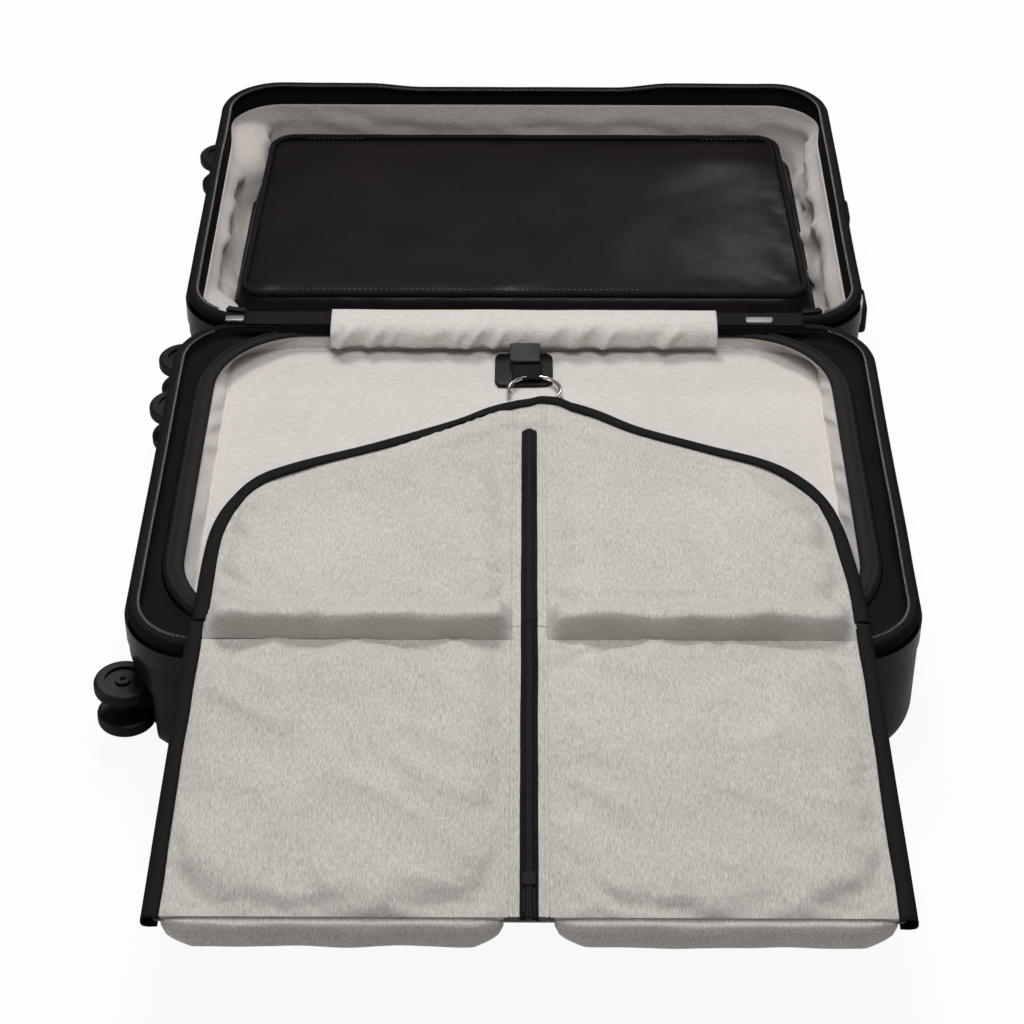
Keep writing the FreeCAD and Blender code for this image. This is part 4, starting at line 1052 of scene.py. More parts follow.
@dataclass
class Pocket:
    """Dark zipped pocket that lies in the far half."""

    half: float = 286.0
    front: float = 118.0
    back: float = 460.0
    top: float = 84.0
    peak: float = 90.0
    corner: float = 36.0
    flare: float = 0.036
    flare_z: tuple = (40.0, 72.0)
    counts: tuple = (96, 56, 12)
    anchor: tuple = (0.0, 0.28, 0.0366)
    gusset: tuple = (
        *((34.0, 36.6), (16.0, 36.9), (6.0, 41.0), (1.0, 50.0)),
        *((0.0, 57.0), (3.5, 65.0), (8.5, 74.0), (13.0, 81.5)),
    )
    broad: Wave = Wave(2.4, (150.0, 110.0, 90.0), 7.3)
    small: Wave = Wave(0.9, 45.0, 2.9)
    pucker: Wave = Wave(0.9, 19.0, 17.7)
    gusset_wave: Wave = Wave(1.6, (40.0, 40.0, 22.0), 5.5)
    piping_wave: Wave = Wave(0.8, 50.0, 3.1)
    stitch_runs: tuple = ((6, 70), (160, 170), (178, 188), (258, 270), (118, 132))
    stitch_step: float = 5.2
    stitch: tuple = ((0.0, -1.7, 0.0), (0.3, 0.0, 0.2), (-0.3, 0.0, 0.2), (0.0, 1.7, 0.0), (0.0, 0.0, 0.6))
    stitch_faces: tuple = ((0, 1, 4), (1, 3, 4), (3, 2, 4), (2, 0, 4), (0, 2, 3, 1))

    def loop(self, inset: float, z: float) -> Array:
        """Pocket outline moved inwards at one height, spread towards its front above the foot."""
        box = (inset - self.half, self.half - inset, self.front + inset, self.back - inset)
        flat = rounded_loop(box, max(self.corner - inset, 8.0), self.counts)
        spread = (self.back - flat[:, 1]) / (self.back - self.front) * ease(z, *self.flare_z)
        flat[:, 0] *= 1.0 + self.flare * spread
        return at_height(flat, z)

    def bag(self) -> Piece:
        """Crowned pouch with a gusset all round."""
        loops = [self.loop(inset, z) for inset, z in self.gusset]
        for inset in (16.0, 19.0, 23.0, 28.0, 34.0, 41.0, *np.arange(49.0, 168.0, 8.0)):
            crown = 1.0 + 4.5 * (1 - math.exp(-(inset - 14.0) / 26.0))
            loops.append(self.loop(inset, self.top - 3.0 + crown))
        points, faces, uvs, level = CASE.loft(loops, Side.FAR)
        rim = len(self.gusset)
        points[:, 2] += ease(level, rim, rim + 4.0) * (self.broad.ripple(points) + self.small.ripple(points))
        near_rim = bell(level, rim + 2.0, math.sqrt(6.0))
        points[:, 2] += near_rim * (self.pucker.ripple(points) - 0.36)
        points[:, 2] = np.minimum(points[:, 2], self.peak)
        wall = ((level > 1) & (level < rim)) * self.gusset_wave.ripple(points)
        away = unit(points[:, :2] - np.array([0.0, (self.front + self.back) / 2]))
        points[:, :2] += away * wall[:, None]
        faces.append(tuple(range(len(loops) - 1, len(points), len(loops))))
        faces.append(tuple(range(0, len(points), len(loops)))[::-1])
        piece = add_piece("pocket_pouch", (points, faces, uvs), Finish.POCKET)
        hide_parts("far_pocket")
        return piece

    def piping(self, name: str, inset: float, z: float, wide: float) -> Piece:
        """Bound edge round the pouch.

        Args:
            name: the piece's name.
            inset: how far in it runs.
            z: its height.
            wide: its radius.

        Returns:
            The bound edge.
        """
        path = self.loop(inset, z)
        path[:, 2] += self.piping_wave.ripple(path)
        inward = unit(self.loop(inset + 10.0, z)[:, :2] - path[:, :2])
        loops = []
        for angle in np.linspace(0, 2 * math.pi, 9):
            flat = path[:, :2] + inward * (1.15 * wide * math.cos(angle))
            loops.append(np.c_[flat, path[:, 2] + wide * math.sin(angle)])
        piece = add_piece(name, CASE.loft(loops, Side.FAR)[:3], Finish.BINDING)
        with editing(piece):
            bpy.ops.mesh.remove_doubles(threshold=1e-6)
            bpy.ops.mesh.normals_make_consistent(inside=False)
        return piece

    def stitches(self) -> Piece:
        """Pale thread along parts of the top's front and back edges."""
        loop = self.loop(19.5, self.top + 1.4)
        parts = []
        for start, stop in self.stitch_runs:
            path = resample(loop[start:stop], self.stitch_step)
            parts.append(copies(path, left_of(path[:, :2]), np.array(self.stitch), self.stitch_faces))
        piece = add_piece("pocket_stitches", merge(parts), Finish.THREAD)
        return piece

    def build(self) -> list:
        """Builds the pouch, its bound edges and its stitches, and sets them on the far half."""
        pieces = [
            self.bag(),
            self.piping("pocket_piping", 14.0, self.top + 0.2, 3.0),
            self.piping("pocket_foot_piping", 0.0, 57.0, 1.9),
            self.stitches(),
        ]
        for piece in pieces:
            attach(piece, "far_half")
            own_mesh(piece)
        return pieces


@dataclass(frozen=True)
class Panel:
    """How one cloth panel of the garment bag billows.

    push: acceleration on the cloth; grow: share by which it is cut larger than its outline;
    tall: greatest height in millimetres; seed: moves the pattern of its first ripples.
    """

    push: tuple
    grow: float
    tall: float
    seed: float


@dataclass
class GarmentBag:
    """Folding bag: two billowed sections with bound edges and a zip down the middle."""

    centre_x: float = 5.0
    half: float = 273.0
    fold_y: float = -453.5
    low: float = 140.6
    base: float = 6.0
    slope: float = math.radians(5.0552)
    upper: float = 345.0
    lower: float = 318.0
    placket: float = 13.0
    seam: float = -18.0
    tuck: float = 9.4
    roll: float = 23.0
    roll_deep: float = 15.0
    roll_back: float = 17.0
    roll_tail: float = 22.0
    roll_lean: float = 0.74
    arms: tuple = ((0.0, 312.0), (24.0, 312.0), (190.0, 196.0))
    arms_top: float = 16.4
    arms_gap: tuple = (19.0, 10.0)
    neck: tuple = (19.0, 310.0)
    neck_top: float = 13.8
    neck_gap: tuple = (36.0, 6.0)
    shoulder: float = 5.2
    shoulder_y: tuple = (185.0, 240.0)
    edge: tuple = (
        *((273, -18), (273, 34), (270.5, 93), (266, 146), (256, 190), (236, 220), (203, 246), (152, 272)),
        *((100, 300), (64, 328), (36, 344), (14, 350), (-8, 348), (-38, 334), (-68, 311), (-133, 274)),
        *((-201, 239), (-239, 215), (-259, 183), (-269, 143), (-271.5, 97), (-271, 31), (-270, -18)),
    )
    spacing: float = 5.6
    frames: int = 22
    upper_panel: Panel = Panel((0.0, -6.5, 8.0), 0.06, 17.0, 4.0)
    lower_panel: Panel = Panel((0.0, -4.0, 8.0), 0.045, 12.5, 11.0)
    fold_room: float = 4.5
    fold_from: tuple = (0.0, 34.0)
    sewn_close: tuple = (-1.0, 9.0)
    sewn_wide: tuple = (0.0, 30.0)
    first: Wave = Wave(0.8, 40.0)
    fold: Wave = Wave(5.4, (64.0, 120.0, 90.0))
    rumple: Wave = Wave(1.8, (30.0, 52.0, 60.0), 2.0)
    roll_wave: Wave = Wave(1.0, (42.0, 30.0, 30.0), 6.0)
    roll_pucker: Wave = Wave(0.5, (15.0, 30.0, 30.0), 11.0)
    hem: tuple = (
        *((-0.4, 5.5), (0.2, 3.4), (1.2, 2.6), (3.0, 4.0), (6.2, 3.6), (8.4, -1.5)),
        *((8.8, -9.0), (7.6, -16.5), (2.6, -22.0), (-6.0, -24.0), (-14.0, -20.0)),
    )
    hem_out: Wave = Wave(1.8, (38.0, 30.0, 24.0), 8.8)
    hem_up: Wave = Wave(1.2, (45.0, 30.0, 30.0), 3.8)
    tape: tuple = (
        *((12.4, 7.2), (9.4, 8.3), (5.0, 8.6), (1.6, 7.7), (0.2, 5.6)),
        *((0.1, 2.4), (1.2, 0.2), (5.0, -0.7), (11.5, -0.4)),
    )
    tape_wide: Wave = Wave(0.12, 60.0)
    tape_lift: Wave = Wave(1.1, 85.0, 3.0)
    coil: tuple = (
        *((-6.6, 7.2), (-4.2, 8.4), (-2.6, 8.6), (-2.0, 9.6), (-0.5, 9.9), (0.0, 9.3)),
        *((0.5, 9.9), (2.0, 9.6), (2.6, 8.6), (4.2, 8.4), (6.6, 7.2)),
    )
    coil_wave: Wave = Wave(0.8, (400.0, 90.0, 400.0), 3.0)
    roll_parts: list = field(default_factory=list)

    def lay_upper(self, level: Array) -> Array:
        """Lays level points (across, from the fold, height) on the sloping upper section."""
        s, c = math.sin(self.slope), math.cos(self.slope)
        y = self.fold_y + level[:, 1] * c + level[:, 2] * s
        z = self.low + level[:, 2] * c - level[:, 1] * s
        return np.c_[level[:, 0] + self.centre_x, y, z]

    def lay_lower(self, level: Array) -> Array:
        """Lays level points on the lower section."""
        return level + np.array([self.centre_x, self.fold_y, self.low])

    def lay_fold(self, level: Array) -> Array:
        """Lays level points on the upper section, and on the lower one past the fold."""
        share = ease(level[:, 1:2], self.seam, 0.0)
        return share * self.lay_upper(level) + (1.0 - share) * self.lay_lower(level)

    def upper_edge(self, inset: float) -> Array:
        """Open outline of the upper section from the fold's right end over the collar to its left end."""
        path = flowing(self.edge, 4.0)
        return path + left_of(path) * inset

    def billow(self, outline: Array, panel: Panel, sign: int) -> tuple:
        """Cloth panel held along its outline and blown up by a steady push.

        Args:
            outline: closed outline in the level plane.
            panel: how it billows.
            sign: 1 on the right of the zip and -1 on the left.

        Returns:
            Level points and faces.
        """
        ring = resample(np.vstack([outline, outline[:1]]), self.spacing)[:-1]
        low, high = ring.min(0), ring.max(0)
        inner = []
        pitch = self.spacing * 0.87
        for row, y in enumerate(np.arange(low[1] + pitch, high[1], pitch)):
            shift = self.spacing / 2 * (row % 2)
            inner.extend((x, y) for x in np.arange(low[0] + self.spacing / 2 + shift, high[0], self.spacing))
        seeds = [Vector(p) for p in ring]
        seeds += [Vector(p) for p in inner if self.depth_in(ring, p) > self.spacing * 0.55]
        spots, _, faces, came, *_ = geometry.delaunay_2d_cdt(seeds, [], [list(range(len(ring)))], 1, 1e-4)
        points = at_height(np.array([p[:] for p in spots]), 0.0)
        inside = np.array([bool(old) and min(old) >= len(ring) for old in came])
        points[:, 2] = inside * (1.2 + self.first.ripple(points, panel.seed + sign))
        faces = [tuple(f) for f in faces]
        return self.rumpled(points, self.simulate(points, faces, ~inside, panel), ~inside, panel.tall), faces

    def depth_in(self, ring: Array, point: tuple) -> float:
        """Distance from a point to a ring of points, negative outside it."""
        p = np.asarray(point, float)
        gap = float(np.linalg.norm(ring - p, axis=1).min())
        a, b = ring, np.roll(ring, -1, axis=0)
        rising = (a[:, 1] > p[1]) != (b[:, 1] > p[1])
        with np.errstate(divide="ignore", invalid="ignore"):
            cross = a[:, 0] + (p[1] - a[:, 1]) * (b[:, 0] - a[:, 0]) / (b[:, 1] - a[:, 1])
        return gap if int((rising & (p[0] < cross)).sum()) % 2 else -gap

    def simulate(self, points: Array, faces: list, held: Array, panel: Panel) -> Array:
        """Runs the cloth.

        Args:
            points: level points.
            faces: corner numbers of each face.
            held: which points stay.
            panel: how it billows.

        Returns:
            The level points where the cloth has moved them.
        """
        mesh = bpy.data.meshes.new("billow")
        mesh.from_pydata((points * MM).tolist(), [], faces)
        cloth = bpy.data.objects.new("billow", mesh)
        scene = bpy.context.scene
        scene.collection.objects.link(cloth)
        cloth.vertex_groups.new(name="held").add(np.flatnonzero(held).tolist(), 1.0, "REPLACE")
        before = scene.gravity.copy()
        scene.gravity = panel.push
        modifier = cloth.modifiers.new("Cloth", "CLOTH")
        rules = modifier.settings
        rules.quality = 5
        rules.mass = 0.1
        rules.vertex_group_mass = "held"
        rules.shrink_min = -panel.grow
        rules.tension_stiffness = rules.compression_stiffness = 18.0
        rules.shear_stiffness = 8.0
        rules.bending_stiffness = 0.25
        rules.air_damping = 6.0
        modifier.point_cache.frame_start = 1
        modifier.point_cache.frame_end = self.frames
        for number in range(1, self.frames + 1):
            scene.frame_set(number)
        shaped = cloth.evaluated_get(bpy.context.evaluated_depsgraph_get()).to_mesh()
        result = np.array([v.co[:] for v in shaped.vertices]) / MM
        cloth.to_mesh_clear()
        scene.frame_set(1)
        scene.gravity = before
        bpy.data.objects.remove(cloth)
        return result

    def rumpled(self, flat: Array, moved: Array, held: Array, tall: float) -> Array:
        """Folds a billowed panel and presses it down beside its sewn edges.

        Args:
            flat: level points before the cloth ran.
            moved: level points after it.
            held: which points stayed.
            tall: greatest height.

        Returns:
            The finished level points.
        """
        free = (np.abs(flat[:, 1] - self.seam) < 2.0) | (flat[:, 1] < 2.0 - self.lower)
        sewn, edge = (
            np.array([np.linalg.norm(flat[kept][:, :2] - spot, axis=1).min() for spot in flat[:, :2]])
            for kept in (held & ~free, held)
        )
        press = 0.35 * ease(sewn, *self.sewn_close) + 0.65 * ease(sewn, *self.sewn_wide)
        slant = moved + np.c_[0.9 * moved[:, 1], -0.5 * moved[:, 0], np.zeros(len(moved))]
        folds = self.fold.crease(slant, tall) + self.rumple.ripple(slant, tall)
        folds = (folds - 1.0) * ease(edge, *self.fold_from)
        puff = tall - self.fold_room
        moved[:, 2] = np.clip(puff * np.tanh(moved[:, 2] / puff) + folds, -1.0, tall) * press
        return moved

    def join(self, name: str, parts: list) -> Piece:
        """One padded piece from several shapes, with its faces turned outwards."""
        piece = add_piece(name, merge(parts), Finish.BAG)
        with editing(piece):
            bpy.ops.mesh.normals_make_consistent(inside=False)
        return piece

    def back_sheet(self, outline: Array) -> tuple:
        """Flat back of a section."""
        ring = resample(np.vstack([outline, outline[:1]]), 12.0)[:-1]
        return at_height(ring, 0.4), [tuple(range(len(ring)))[::-1]]

    def strip(self, start: float, end: float) -> tuple:
        """Level strip along the middle of the bag between two distances from the fold."""
        half = self.placket + 0.6
        vs, us = np.arange(start, end + 2.0, 4.0), np.linspace(-half, half, 13)
        points = [(u, v, self.base - 0.2 + 0.8 * (1 - (u / half) ** 2)) for v in vs for u in us]
        return np.array(points), grid_faces(len(vs), len(us))

    def fold_roll(self, points: Array, sign: int) -> tuple:
        """Slack roll that the upper section makes over the fold seam.

        Args:
            points: level points of a panel.
            sign: 1 on the right of the zip and -1 on the left.

        Returns:
            The roll's height and its forward lean at each point.
        """
        away, u = points[:, 1] - self.seam, np.abs(points[:, 0])
        front = ease(away, 0.0, self.roll_deep) * 0.65 + 0.35 * (1.0 - np.exp(-np.maximum(away, 0.0) / 2.0))
        tail = bell(np.maximum(away, self.roll_back), self.roll_back, self.roll_tail)
        side = self.half - self.tuck - 2.0
        ends = ease(u, self.placket, self.placket + 12.0) * ease(u, side, side - 16.0)
        spots = np.c_[points[:, 0], points[:, 1] * 0.4, np.zeros(len(points))]
        uneven = self.roll_wave.ripple(spots, sign) + self.roll_pucker.ripple(spots, sign)
        lean = self.roll_lean * np.clip(away, 0.0, self.roll_deep) * ease(away, 40.0, 16.0) * ends
        return self.roll * front * tail * ends * (1.0 + 0.2 * uneven), lean * ends * (1.0 + 0.15 * uneven)

    def over_arms(self, points: Array) -> Array:
        """Least rise of the cloth where it lies over the hanger's arms."""
        spots = np.c_[np.abs(points[:, 0]), points[:, 1]]
        gap = np.full(len(spots), np.inf)
        arms = np.array(self.arms)
        for a, b in zip(arms[:-1], arms[1:]):
            along = np.clip(((spots - a) @ (b - a)) / ((b - a) @ (b - a)), 0.0, 1.0)
            gap = np.minimum(gap, np.linalg.norm(spots - a - along[:, None] * (b - a), axis=1))
        lift = (self.arms_top - self.base) * ease(gap, *self.arms_gap)
        gap = np.abs(points[:, 0] - self.neck[0]) + np.maximum(self.neck[1] - points[:, 1], 0.0)
        neck = (self.neck_top - self.base) * ease(gap, *self.neck_gap)
        return np.maximum.reduce([lift, neck, self.shoulder * ease(points[:, 1], *self.shoulder_y)])

    def upper_cloth(self) -> Piece:
        """Upper section: two billowed panels, the plackets and the back."""
        parts = []
        edge = self.upper_edge(self.tuck)
        for sign in (1, -1):
            half_edge = edge[::sign]
            half_edge = half_edge[sign * half_edge[:, 0] > self.placket]
            x, top = sign * self.placket, half_edge[-1][1] + 4.0
            outline = np.vstack([[(x, self.seam)], half_edge, [(x, top)]])
            points, faces = self.billow(outline, self.upper_panel, sign)
            roll, lean = self.fold_roll(points, sign)
            points[:, 1] -= lean
            over = points[:, 1] < 0.0
            points[:, 2] = np.maximum.reduce([points[:, 2], roll, self.over_arms(points)]) + self.base - 0.4
            laid = self.lay_fold(points)
            self.roll_parts.append((laid, [f for f in faces if over[list(f)].sum() > 1]))
            parts.append((laid, [f for f in faces if over[list(f)].sum() < 2]))
        strip, faces = self.strip(-2.0, self.upper + 6.0)
        strip[:, 2] = np.maximum(strip[:, 2], self.base + self.over_arms(strip) - 0.2)
        parts.append((self.lay_upper(strip), faces))
        outline = self.upper_edge(4.0)
        back, faces = self.back_sheet(outline[outline[:, 1] > 0.0])
        parts.append((self.lay_upper(back), faces))
        piece = self.join("bag_upper_cloth", parts)
        settle(piece, "suiter_upper", "near_half")
        return piece

    def lip(self, sign: int) -> tuple:
        """Rolled hem that hangs from one side of the lower section's end."""
        route = resample(np.array(self.hem), 2.2)
        shares = np.linspace(0.0, 1.0, 70)
        points = []
        for t in shares:
            pinch = math.sqrt(min(t / 0.09, (1 - t) / 0.09, 1.0))
            u = sign * (self.placket + 5.0 + (self.half - self.placket - 18.0) * t)
            for k, (out, rise) in enumerate(route):
                slim = 1.0 - 0.7 * (1.0 - pinch) * min(1.0, k / 3.0)
                points.append((u, -self.lower - out * slim + (1.0 - slim) * 5.7, rise * slim))
        points = np.array(points)
        loose = np.tile(ease(np.arange(len(route)), 0.5, 3.5), len(shares))
        points[:, 1] += loose * self.hem_out.ripple(points, sign)
        points[:, 2] += loose * self.hem_up.ripple(points, sign)
        return points, grid_faces(len(shares), len(route))

    def lower_cloth(self) -> Piece:
        """Lower section: the fold's roll, two billowed panels, the plackets, the hems and the back."""
        shapes = []
        for sign in (1, -1):
            x0, x1 = sign * self.placket, sign * (self.half - self.tuck)
            outline = np.array([(x0, self.seam), (x1, self.seam), (x1, -self.lower), (x0, -self.lower)])
            points, faces = self.billow(outline, self.lower_panel, sign)
            points[:, 2] += self.base - 0.4
            shapes += [(points, faces), self.lip(sign)]
        shapes.append(self.strip(-self.lower, 0.0))
        side = self.half - 4.0
        outline = np.array([(-side, 0.0), (side, 0.0), (side, -self.lower), (-side, -self.lower)])
        shapes.append(self.back_sheet(outline))
        parts = self.roll_parts + [(self.lay_lower(points), faces) for points, faces in shapes]
        piece = self.join("bag_lower_cloth", parts)
        settle(piece, "suiter_lower", "suiter_flap")
        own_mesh(piece)
        return piece

    def bind(self, path: Array, inward: Array, seed: float) -> tuple:
        """Tape folded over an edge.

        Args:
            path: level edge points.
            inward: direction into the bag at each point.
            seed: moves the pattern of its unevenness.

        Returns:
            Level points, faces and cloth places.
        """
        spots = at_height(path, 0.0)
        wide = 1.0 + self.tape_wide.ripple(spots, seed)
        lift = np.maximum(self.tape_lift.ripple(spots, seed), -0.4)
        points = []
        for spot, way, w, up in zip(path, inward, wide, lift):
            points += [(*(spot + way * d * w), h + up) for d, h in self.tape]
        points = np.array(points)
        points[:, 2] += self.over_arms(points) * (points[:, 2] > 3.0) * (points[:, 1] > 0.0)
        across = run_length(np.array(self.tape))
        uvs = np.c_[np.repeat(run_length(path), len(across)), np.tile(across, len(path))] * MM
        return points, grid_faces(len(path), len(across)), uvs

    def bindings(self) -> list:
        """Black tape round the upper section and along the lower section's sides."""
        path = self.upper_edge(0.0)
        path = path[path[:, 1] > -0.5]
        points, faces, uvs = self.bind(path, left_of(path), 2.0)
        upper = add_piece("bag_upper_binding", (self.lay_upper(points), faces, uvs), Finish.BINDING, 0.9)
        settle(upper, "suiter_upper_binding", "near_half")
        parts = []
        for sign in (1, -1):
            ends = [(sign * self.half, 0.0), (sign * self.half, -self.lower - 4.0)]
            edge = resample(np.array(ends), 5.0)
            points, faces, uvs = self.bind(edge, np.tile([-sign, 0.0], (len(edge), 1)), 5.0 + sign)
            parts.append((self.lay_lower(points), [face[::-sign] for face in faces], uvs))
        lower = add_piece("bag_lower_binding", merge(parts), Finish.BINDING, 0.9)
        settle(lower, "suiter_lower_binding", "suiter_flap")
        return [upper, lower]

    def zips(self) -> list:
        """Coil zip down the middle, one length per section."""
        pieces = []
        for name, start, end, lay, body in (
            ("upper", 0.0, self.upper - 51.0, self.lay_upper, "near_half"),
            ("lower", -self.lower - 5.0, 0.0, self.lay_lower, "suiter_flap"),
        ):
            vs = np.arange(start, end + 2.0, 4.0)
            points = np.array([(u, v, h) for v in vs for u, h in self.coil])
            points[:, 2] += self.over_arms(points)
            if name == "upper":
                points[:, 0] *= 0.82 + 0.18 * ease(points[:, 1], end + 1.0, end - 5.0)
            points[:, 0] += self.coil_wave.ripple(points)
            uvs = np.c_[points[:, 1] - start, points[:, 0] + 8.0] * MM
            shape = lay(points), grid_faces(len(vs), len(self.coil)), uvs
            pieces.append(add_piece(f"bag_{name}_zip", shape, Finish.COIL, 0.8))
            settle(pieces[-1], f"suiter_{name}_zip", body)
        return pieces

    def build(self) -> list:
        """Builds both sections, their bindings and the zip."""
        return [self.upper_cloth(), self.lower_cloth(), *self.bindings(), *self.zips()]


@dataclass
class HookHold:
    """Patch on the tray and the strap that holds the hanger's hook."""

    patch_box: tuple = ((-27.0, -67.5, 110.1), (27.0, -24.0, 112.3))
    strap_x: float = 3.0
    strap_half: float = 13.5
    snap_x: float = 1.0
    snap_half: float = 14.2
    snap_y: tuple = (-46.0, -29.0)
    snap_slope: float = 0.56
    root_y: tuple = (-30.0, -44.0)

    def patch(self) -> Piece:
        """Patch that lies on the sloping tray."""
        patch = plate("hook_patch", *self.patch_box, 7.0, 0.9, Finish.PATCH)
        tilt(patch, Tray.slope, Tray.slope_y)
        settle(patch, "hanger_patch", "near_half")
        return patch

    def strap(self, top: float) -> Piece:
        """Strap that loops over the hook, up to a height."""
        route = [(-39.4, 115.6), (-40.0, 117.6), (-43.0, top - 0.6), (-50.0, top + 0.4), (-57.0, top - 0.8)]
        route += [(-62.5, top - 3.4), (-65.0, 117.4), (-63.0, 114.8), (-56.0, 114.6)]
        route = resample(np.array(route), 1.2)
        us = np.linspace(-self.strap_half, self.strap_half, 11)
        points = np.array([(self.strap_x + u, y, z - 0.003 * u * u) for y, z in route for u in us])
        uvs = np.c_[np.repeat(run_length(route), len(us)), np.tile(us + self.strap_half, len(route))] * MM
        shape = points, grid_faces(len(route), len(us)), uvs
        strap = add_piece("hook_strap_webbing", shape, Finish.STRAP, 1.4)
        settle(strap, "hanger_strap", "hook_strap")
        return strap

    def snap(self, top: float) -> Piece:
        """Snap cover that joins the strap to the patch."""
        low = (self.snap_x - self.snap_half, self.snap_y[0], top + 1.2)
        high = (self.snap_x + self.snap_half, self.snap_y[1], top + 3.8)
        snap = plate("hook_snap", low, high, 2.0, 0.8, Finish.SNAP)
        tilt(snap, self.snap_slope, self.snap_y[0])
        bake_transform(snap)
        return snap

    def build(self) -> list:
        """Builds the patch, the strap and its snap cover."""
        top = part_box("hanger_strap")[1].z / MM
        return [self.patch(), self.strap(top), self.snap(top)]


@dataclass
class PullTabs:
    """Flat pull tabs of the two main zip sliders, lying at the hinge corners."""

    left: tuple = (-281.0, -263.0)
    right: tuple = (208.0, 234.0)
    near: float = -8.0
    far: float = 0.5
    low: float = 141.6
    high: float = 143.8

    def build(self) -> list:
        """Builds both tabs."""
        tabs = []
        for name, (x0, x1) in (("left", self.left), ("right", self.right)):
            low, high = (x0, self.near, self.low), (x1, self.far, self.high)
            tabs.append(plate(f"pull_tab_{name}", low, high, 2.4, 0.7, Finish.TAB))
            settle(tabs[-1], f"main_zip_pull_{name}", f"main_zip_{name}")
        return tabs


@dataclass
class Hardware:
    """Carried-over solids and their finishes, by the first word that is in a solid's name."""

    words: tuple = (
        ("shell", Finish.SHELL),
        ("edge_trim", Finish.TRIM),
        ("caster_housings", Finish.HOUSING),
        ("fork", Finish.FORK),
        ("axle", Finish.STEEL),
        ("wheel", Finish.TREAD),
        ("tubes", Finish.TUBE),
        ("trolley_button", Finish.BUTTON),
        ("trolley", Finish.HOUSING),
        ("handle_caps", Finish.HOUSING),
        ("handle_grip", Finish.GRIP),
        ("screws", Finish.STEEL),
        ("main_zip", Finish.SLIDER),
        ("suiter_zip", Finish.SLIDER),
        ("hanger", Finish.CHROME),
    )

    def dress(self) -> int:
        """Gives every shown solid its finish and returns their number."""
        shown = {name: solid for name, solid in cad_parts.items() if not solid.hide_render}
        for name, solid in shown.items():
            finish = next(finish for word, finish in self.words if word in name)
            solid.data.materials.clear()
            solid.data.materials.append(finish.material)
            select_only(solid)
            bpy.ops.object.shade_smooth_by_angle(angle=math.radians(32))
        return len(shown)


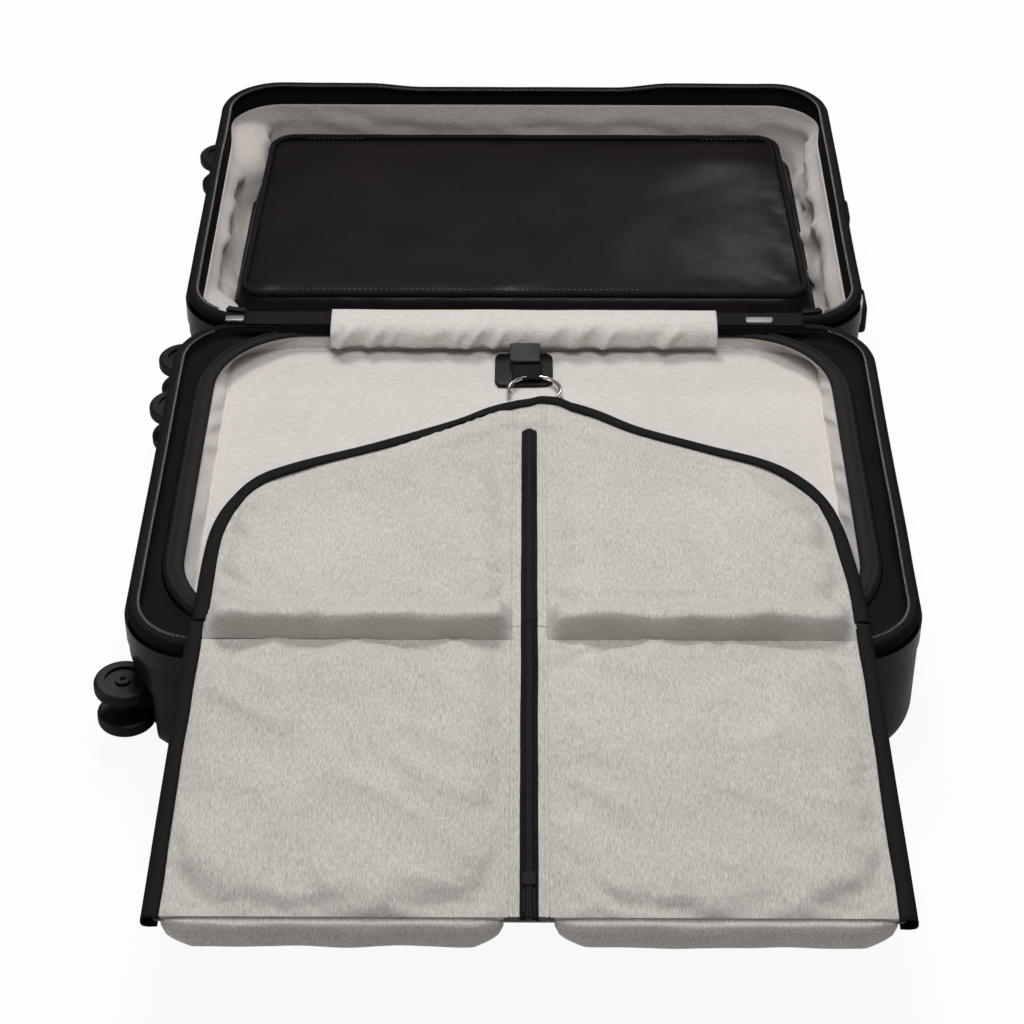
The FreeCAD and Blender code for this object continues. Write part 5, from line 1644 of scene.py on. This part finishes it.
@dataclass
class Studio:
    """Camera, floor and soft light."""

    eye: tuple = (0.0, -2.029, 1.474)
    down_deg: float = 37.6
    turn_deg: float = 0.32
    lens: float = 90.42
    sensor: float = 36.0
    floor_size: float = 14.0
    floor_z: float = -0.0005
    sky: tuple = (0.84, 0.16)
    lamps: tuple = (
        ("key", (-0.2, 1.2, 2.5), (0.0, -0.4, 0.1), 0.9, 42.0),
        ("top", (0.1, -0.42, 1.8), (0.05, 0.15, 0.1), 0.7, 16.0),
        ("left", (-2.1, -0.75, 0.45), (0.0, -0.3, 0.1), 0.3, 5.0),
        ("back", (0.5, 2.0, 1.25), (0.25, 0.3, 0.1), 0.35, 3.2),
        ("fill", (0.5, -2.4, 1.3), (0.0, 0.1, 0.1), 1.2, 2.2),
    )

    def camera(self) -> None:
        """Sets the camera at the photograph's angle."""
        data = bpy.data.cameras.new("camera")
        data.sensor_width = self.sensor
        data.lens = self.lens
        camera = bpy.data.objects.new("camera", data)
        camera.location = (ORIGIN + np.array(self.eye)).tolist()
        camera.rotation_euler = (math.radians(90 - self.down_deg), 0.0, math.radians(self.turn_deg))
        bpy.context.scene.collection.objects.link(camera)
        bpy.context.scene.camera = camera

    def floor(self) -> None:
        """Lays a pale floor that shows white but keeps the case's shadow."""
        bpy.ops.mesh.primitive_plane_add(size=self.floor_size, location=(0.0, 0.0, self.floor_z))
        floor = bpy.context.active_object
        floor.name = "floor"
        s = Shader("pale_floor")
        s.set({"Base Color": (*grey(0.86), 1.0), "Roughness": 0.8, "Specular IOR Level": 0.1})
        rays = ("Is Camera Ray", "Is Glossy Ray", "Is Transmission Ray")
        seen, mirrored, through = (s.node("ShaderNodeLightPath", {}, {}, name) for name in rays)
        white, dim = (
            s.node("ShaderNodeEmission", {}, {"Color": (*grey(v), 1.0), "Strength": 1.0}) for v in (1.0, 0.14)
        )
        body = Sock(s, s.body.outputs[0])
        mixed = s.node("ShaderNodeMixShader", {}, {0: (seen + through) * 0.93, 1: body, 2: white})
        mixed = s.node("ShaderNodeMixShader", {}, {0: mirrored * 0.8, 1: mixed, 2: dim})
        s.feed(s.tree.nodes["Material Output"], {"Surface": mixed})
        floor.data.materials.append(s.material)

    def world(self) -> None:
        """White surroundings for the eye, softer ones for the light."""
        world = bpy.data.worlds.new("studio")
        world.use_nodes = True
        tree = world.node_tree
        back = tree.nodes["Background"]
        back.inputs["Color"].default_value = (*grey(1.0), 1.0)
        rays = tree.nodes.new("ShaderNodeLightPath")
        scale = tree.nodes.new("ShaderNodeMath")
        scale.operation = "MULTIPLY_ADD"
        tree.links.new(rays.outputs["Is Camera Ray"], scale.inputs[0])
        scale.inputs[1].default_value, scale.inputs[2].default_value = self.sky
        tree.links.new(scale.outputs[0], back.inputs["Strength"])
        bpy.context.scene.world = world

    def lamp(self, name: str, place: tuple, aim: tuple, size: float, power: float) -> None:
        """Adds one square softbox.

        Args:
            name: its name.
            place: where it stands.
            aim: the point that it faces.
            size: its side in metres.
            power: its power in watts.
        """
        data = bpy.data.lights.new(name, "AREA")
        data.shape = "SQUARE"
        data.size = size
        data.energy = power
        lamp = bpy.data.objects.new(name, data)
        lamp.location = place
        lamp.rotation_euler = (Vector(aim) - Vector(place)).to_track_quat("-Z", "Y").to_euler()
        bpy.context.scene.collection.objects.link(lamp)

    def build(self) -> None:
        """Builds the whole studio."""
        self.camera()
        self.floor()
        self.world()
        for lamp in self.lamps:
            self.lamp(*lamp)
        bpy.context.scene.view_settings.view_transform = "Standard"


def main() -> None:
    """Builds the studio, every soft piece and every finish."""
    logging.basicConfig(level=logging.INFO, format="%(asctime)s %(message)s")
    Studio().build()
    rims = (Rim(Side.NEAR, 0.0), Rim(Side.FAR, 5.0))
    for part in (*rims, Linings(), Tray(), Hinge(), Pocket(), GarmentBag(), HookHold(), PullTabs()):
        for piece in part.build():
            area = sum(face.area for face in piece.data.polygons)
            log.info("%s: %d faces, %.4f square metres", piece.name, len(piece.data.polygons), area)
    log.info("solids dressed: %d", Hardware().dress())


if __name__ == "__main__":
    main()
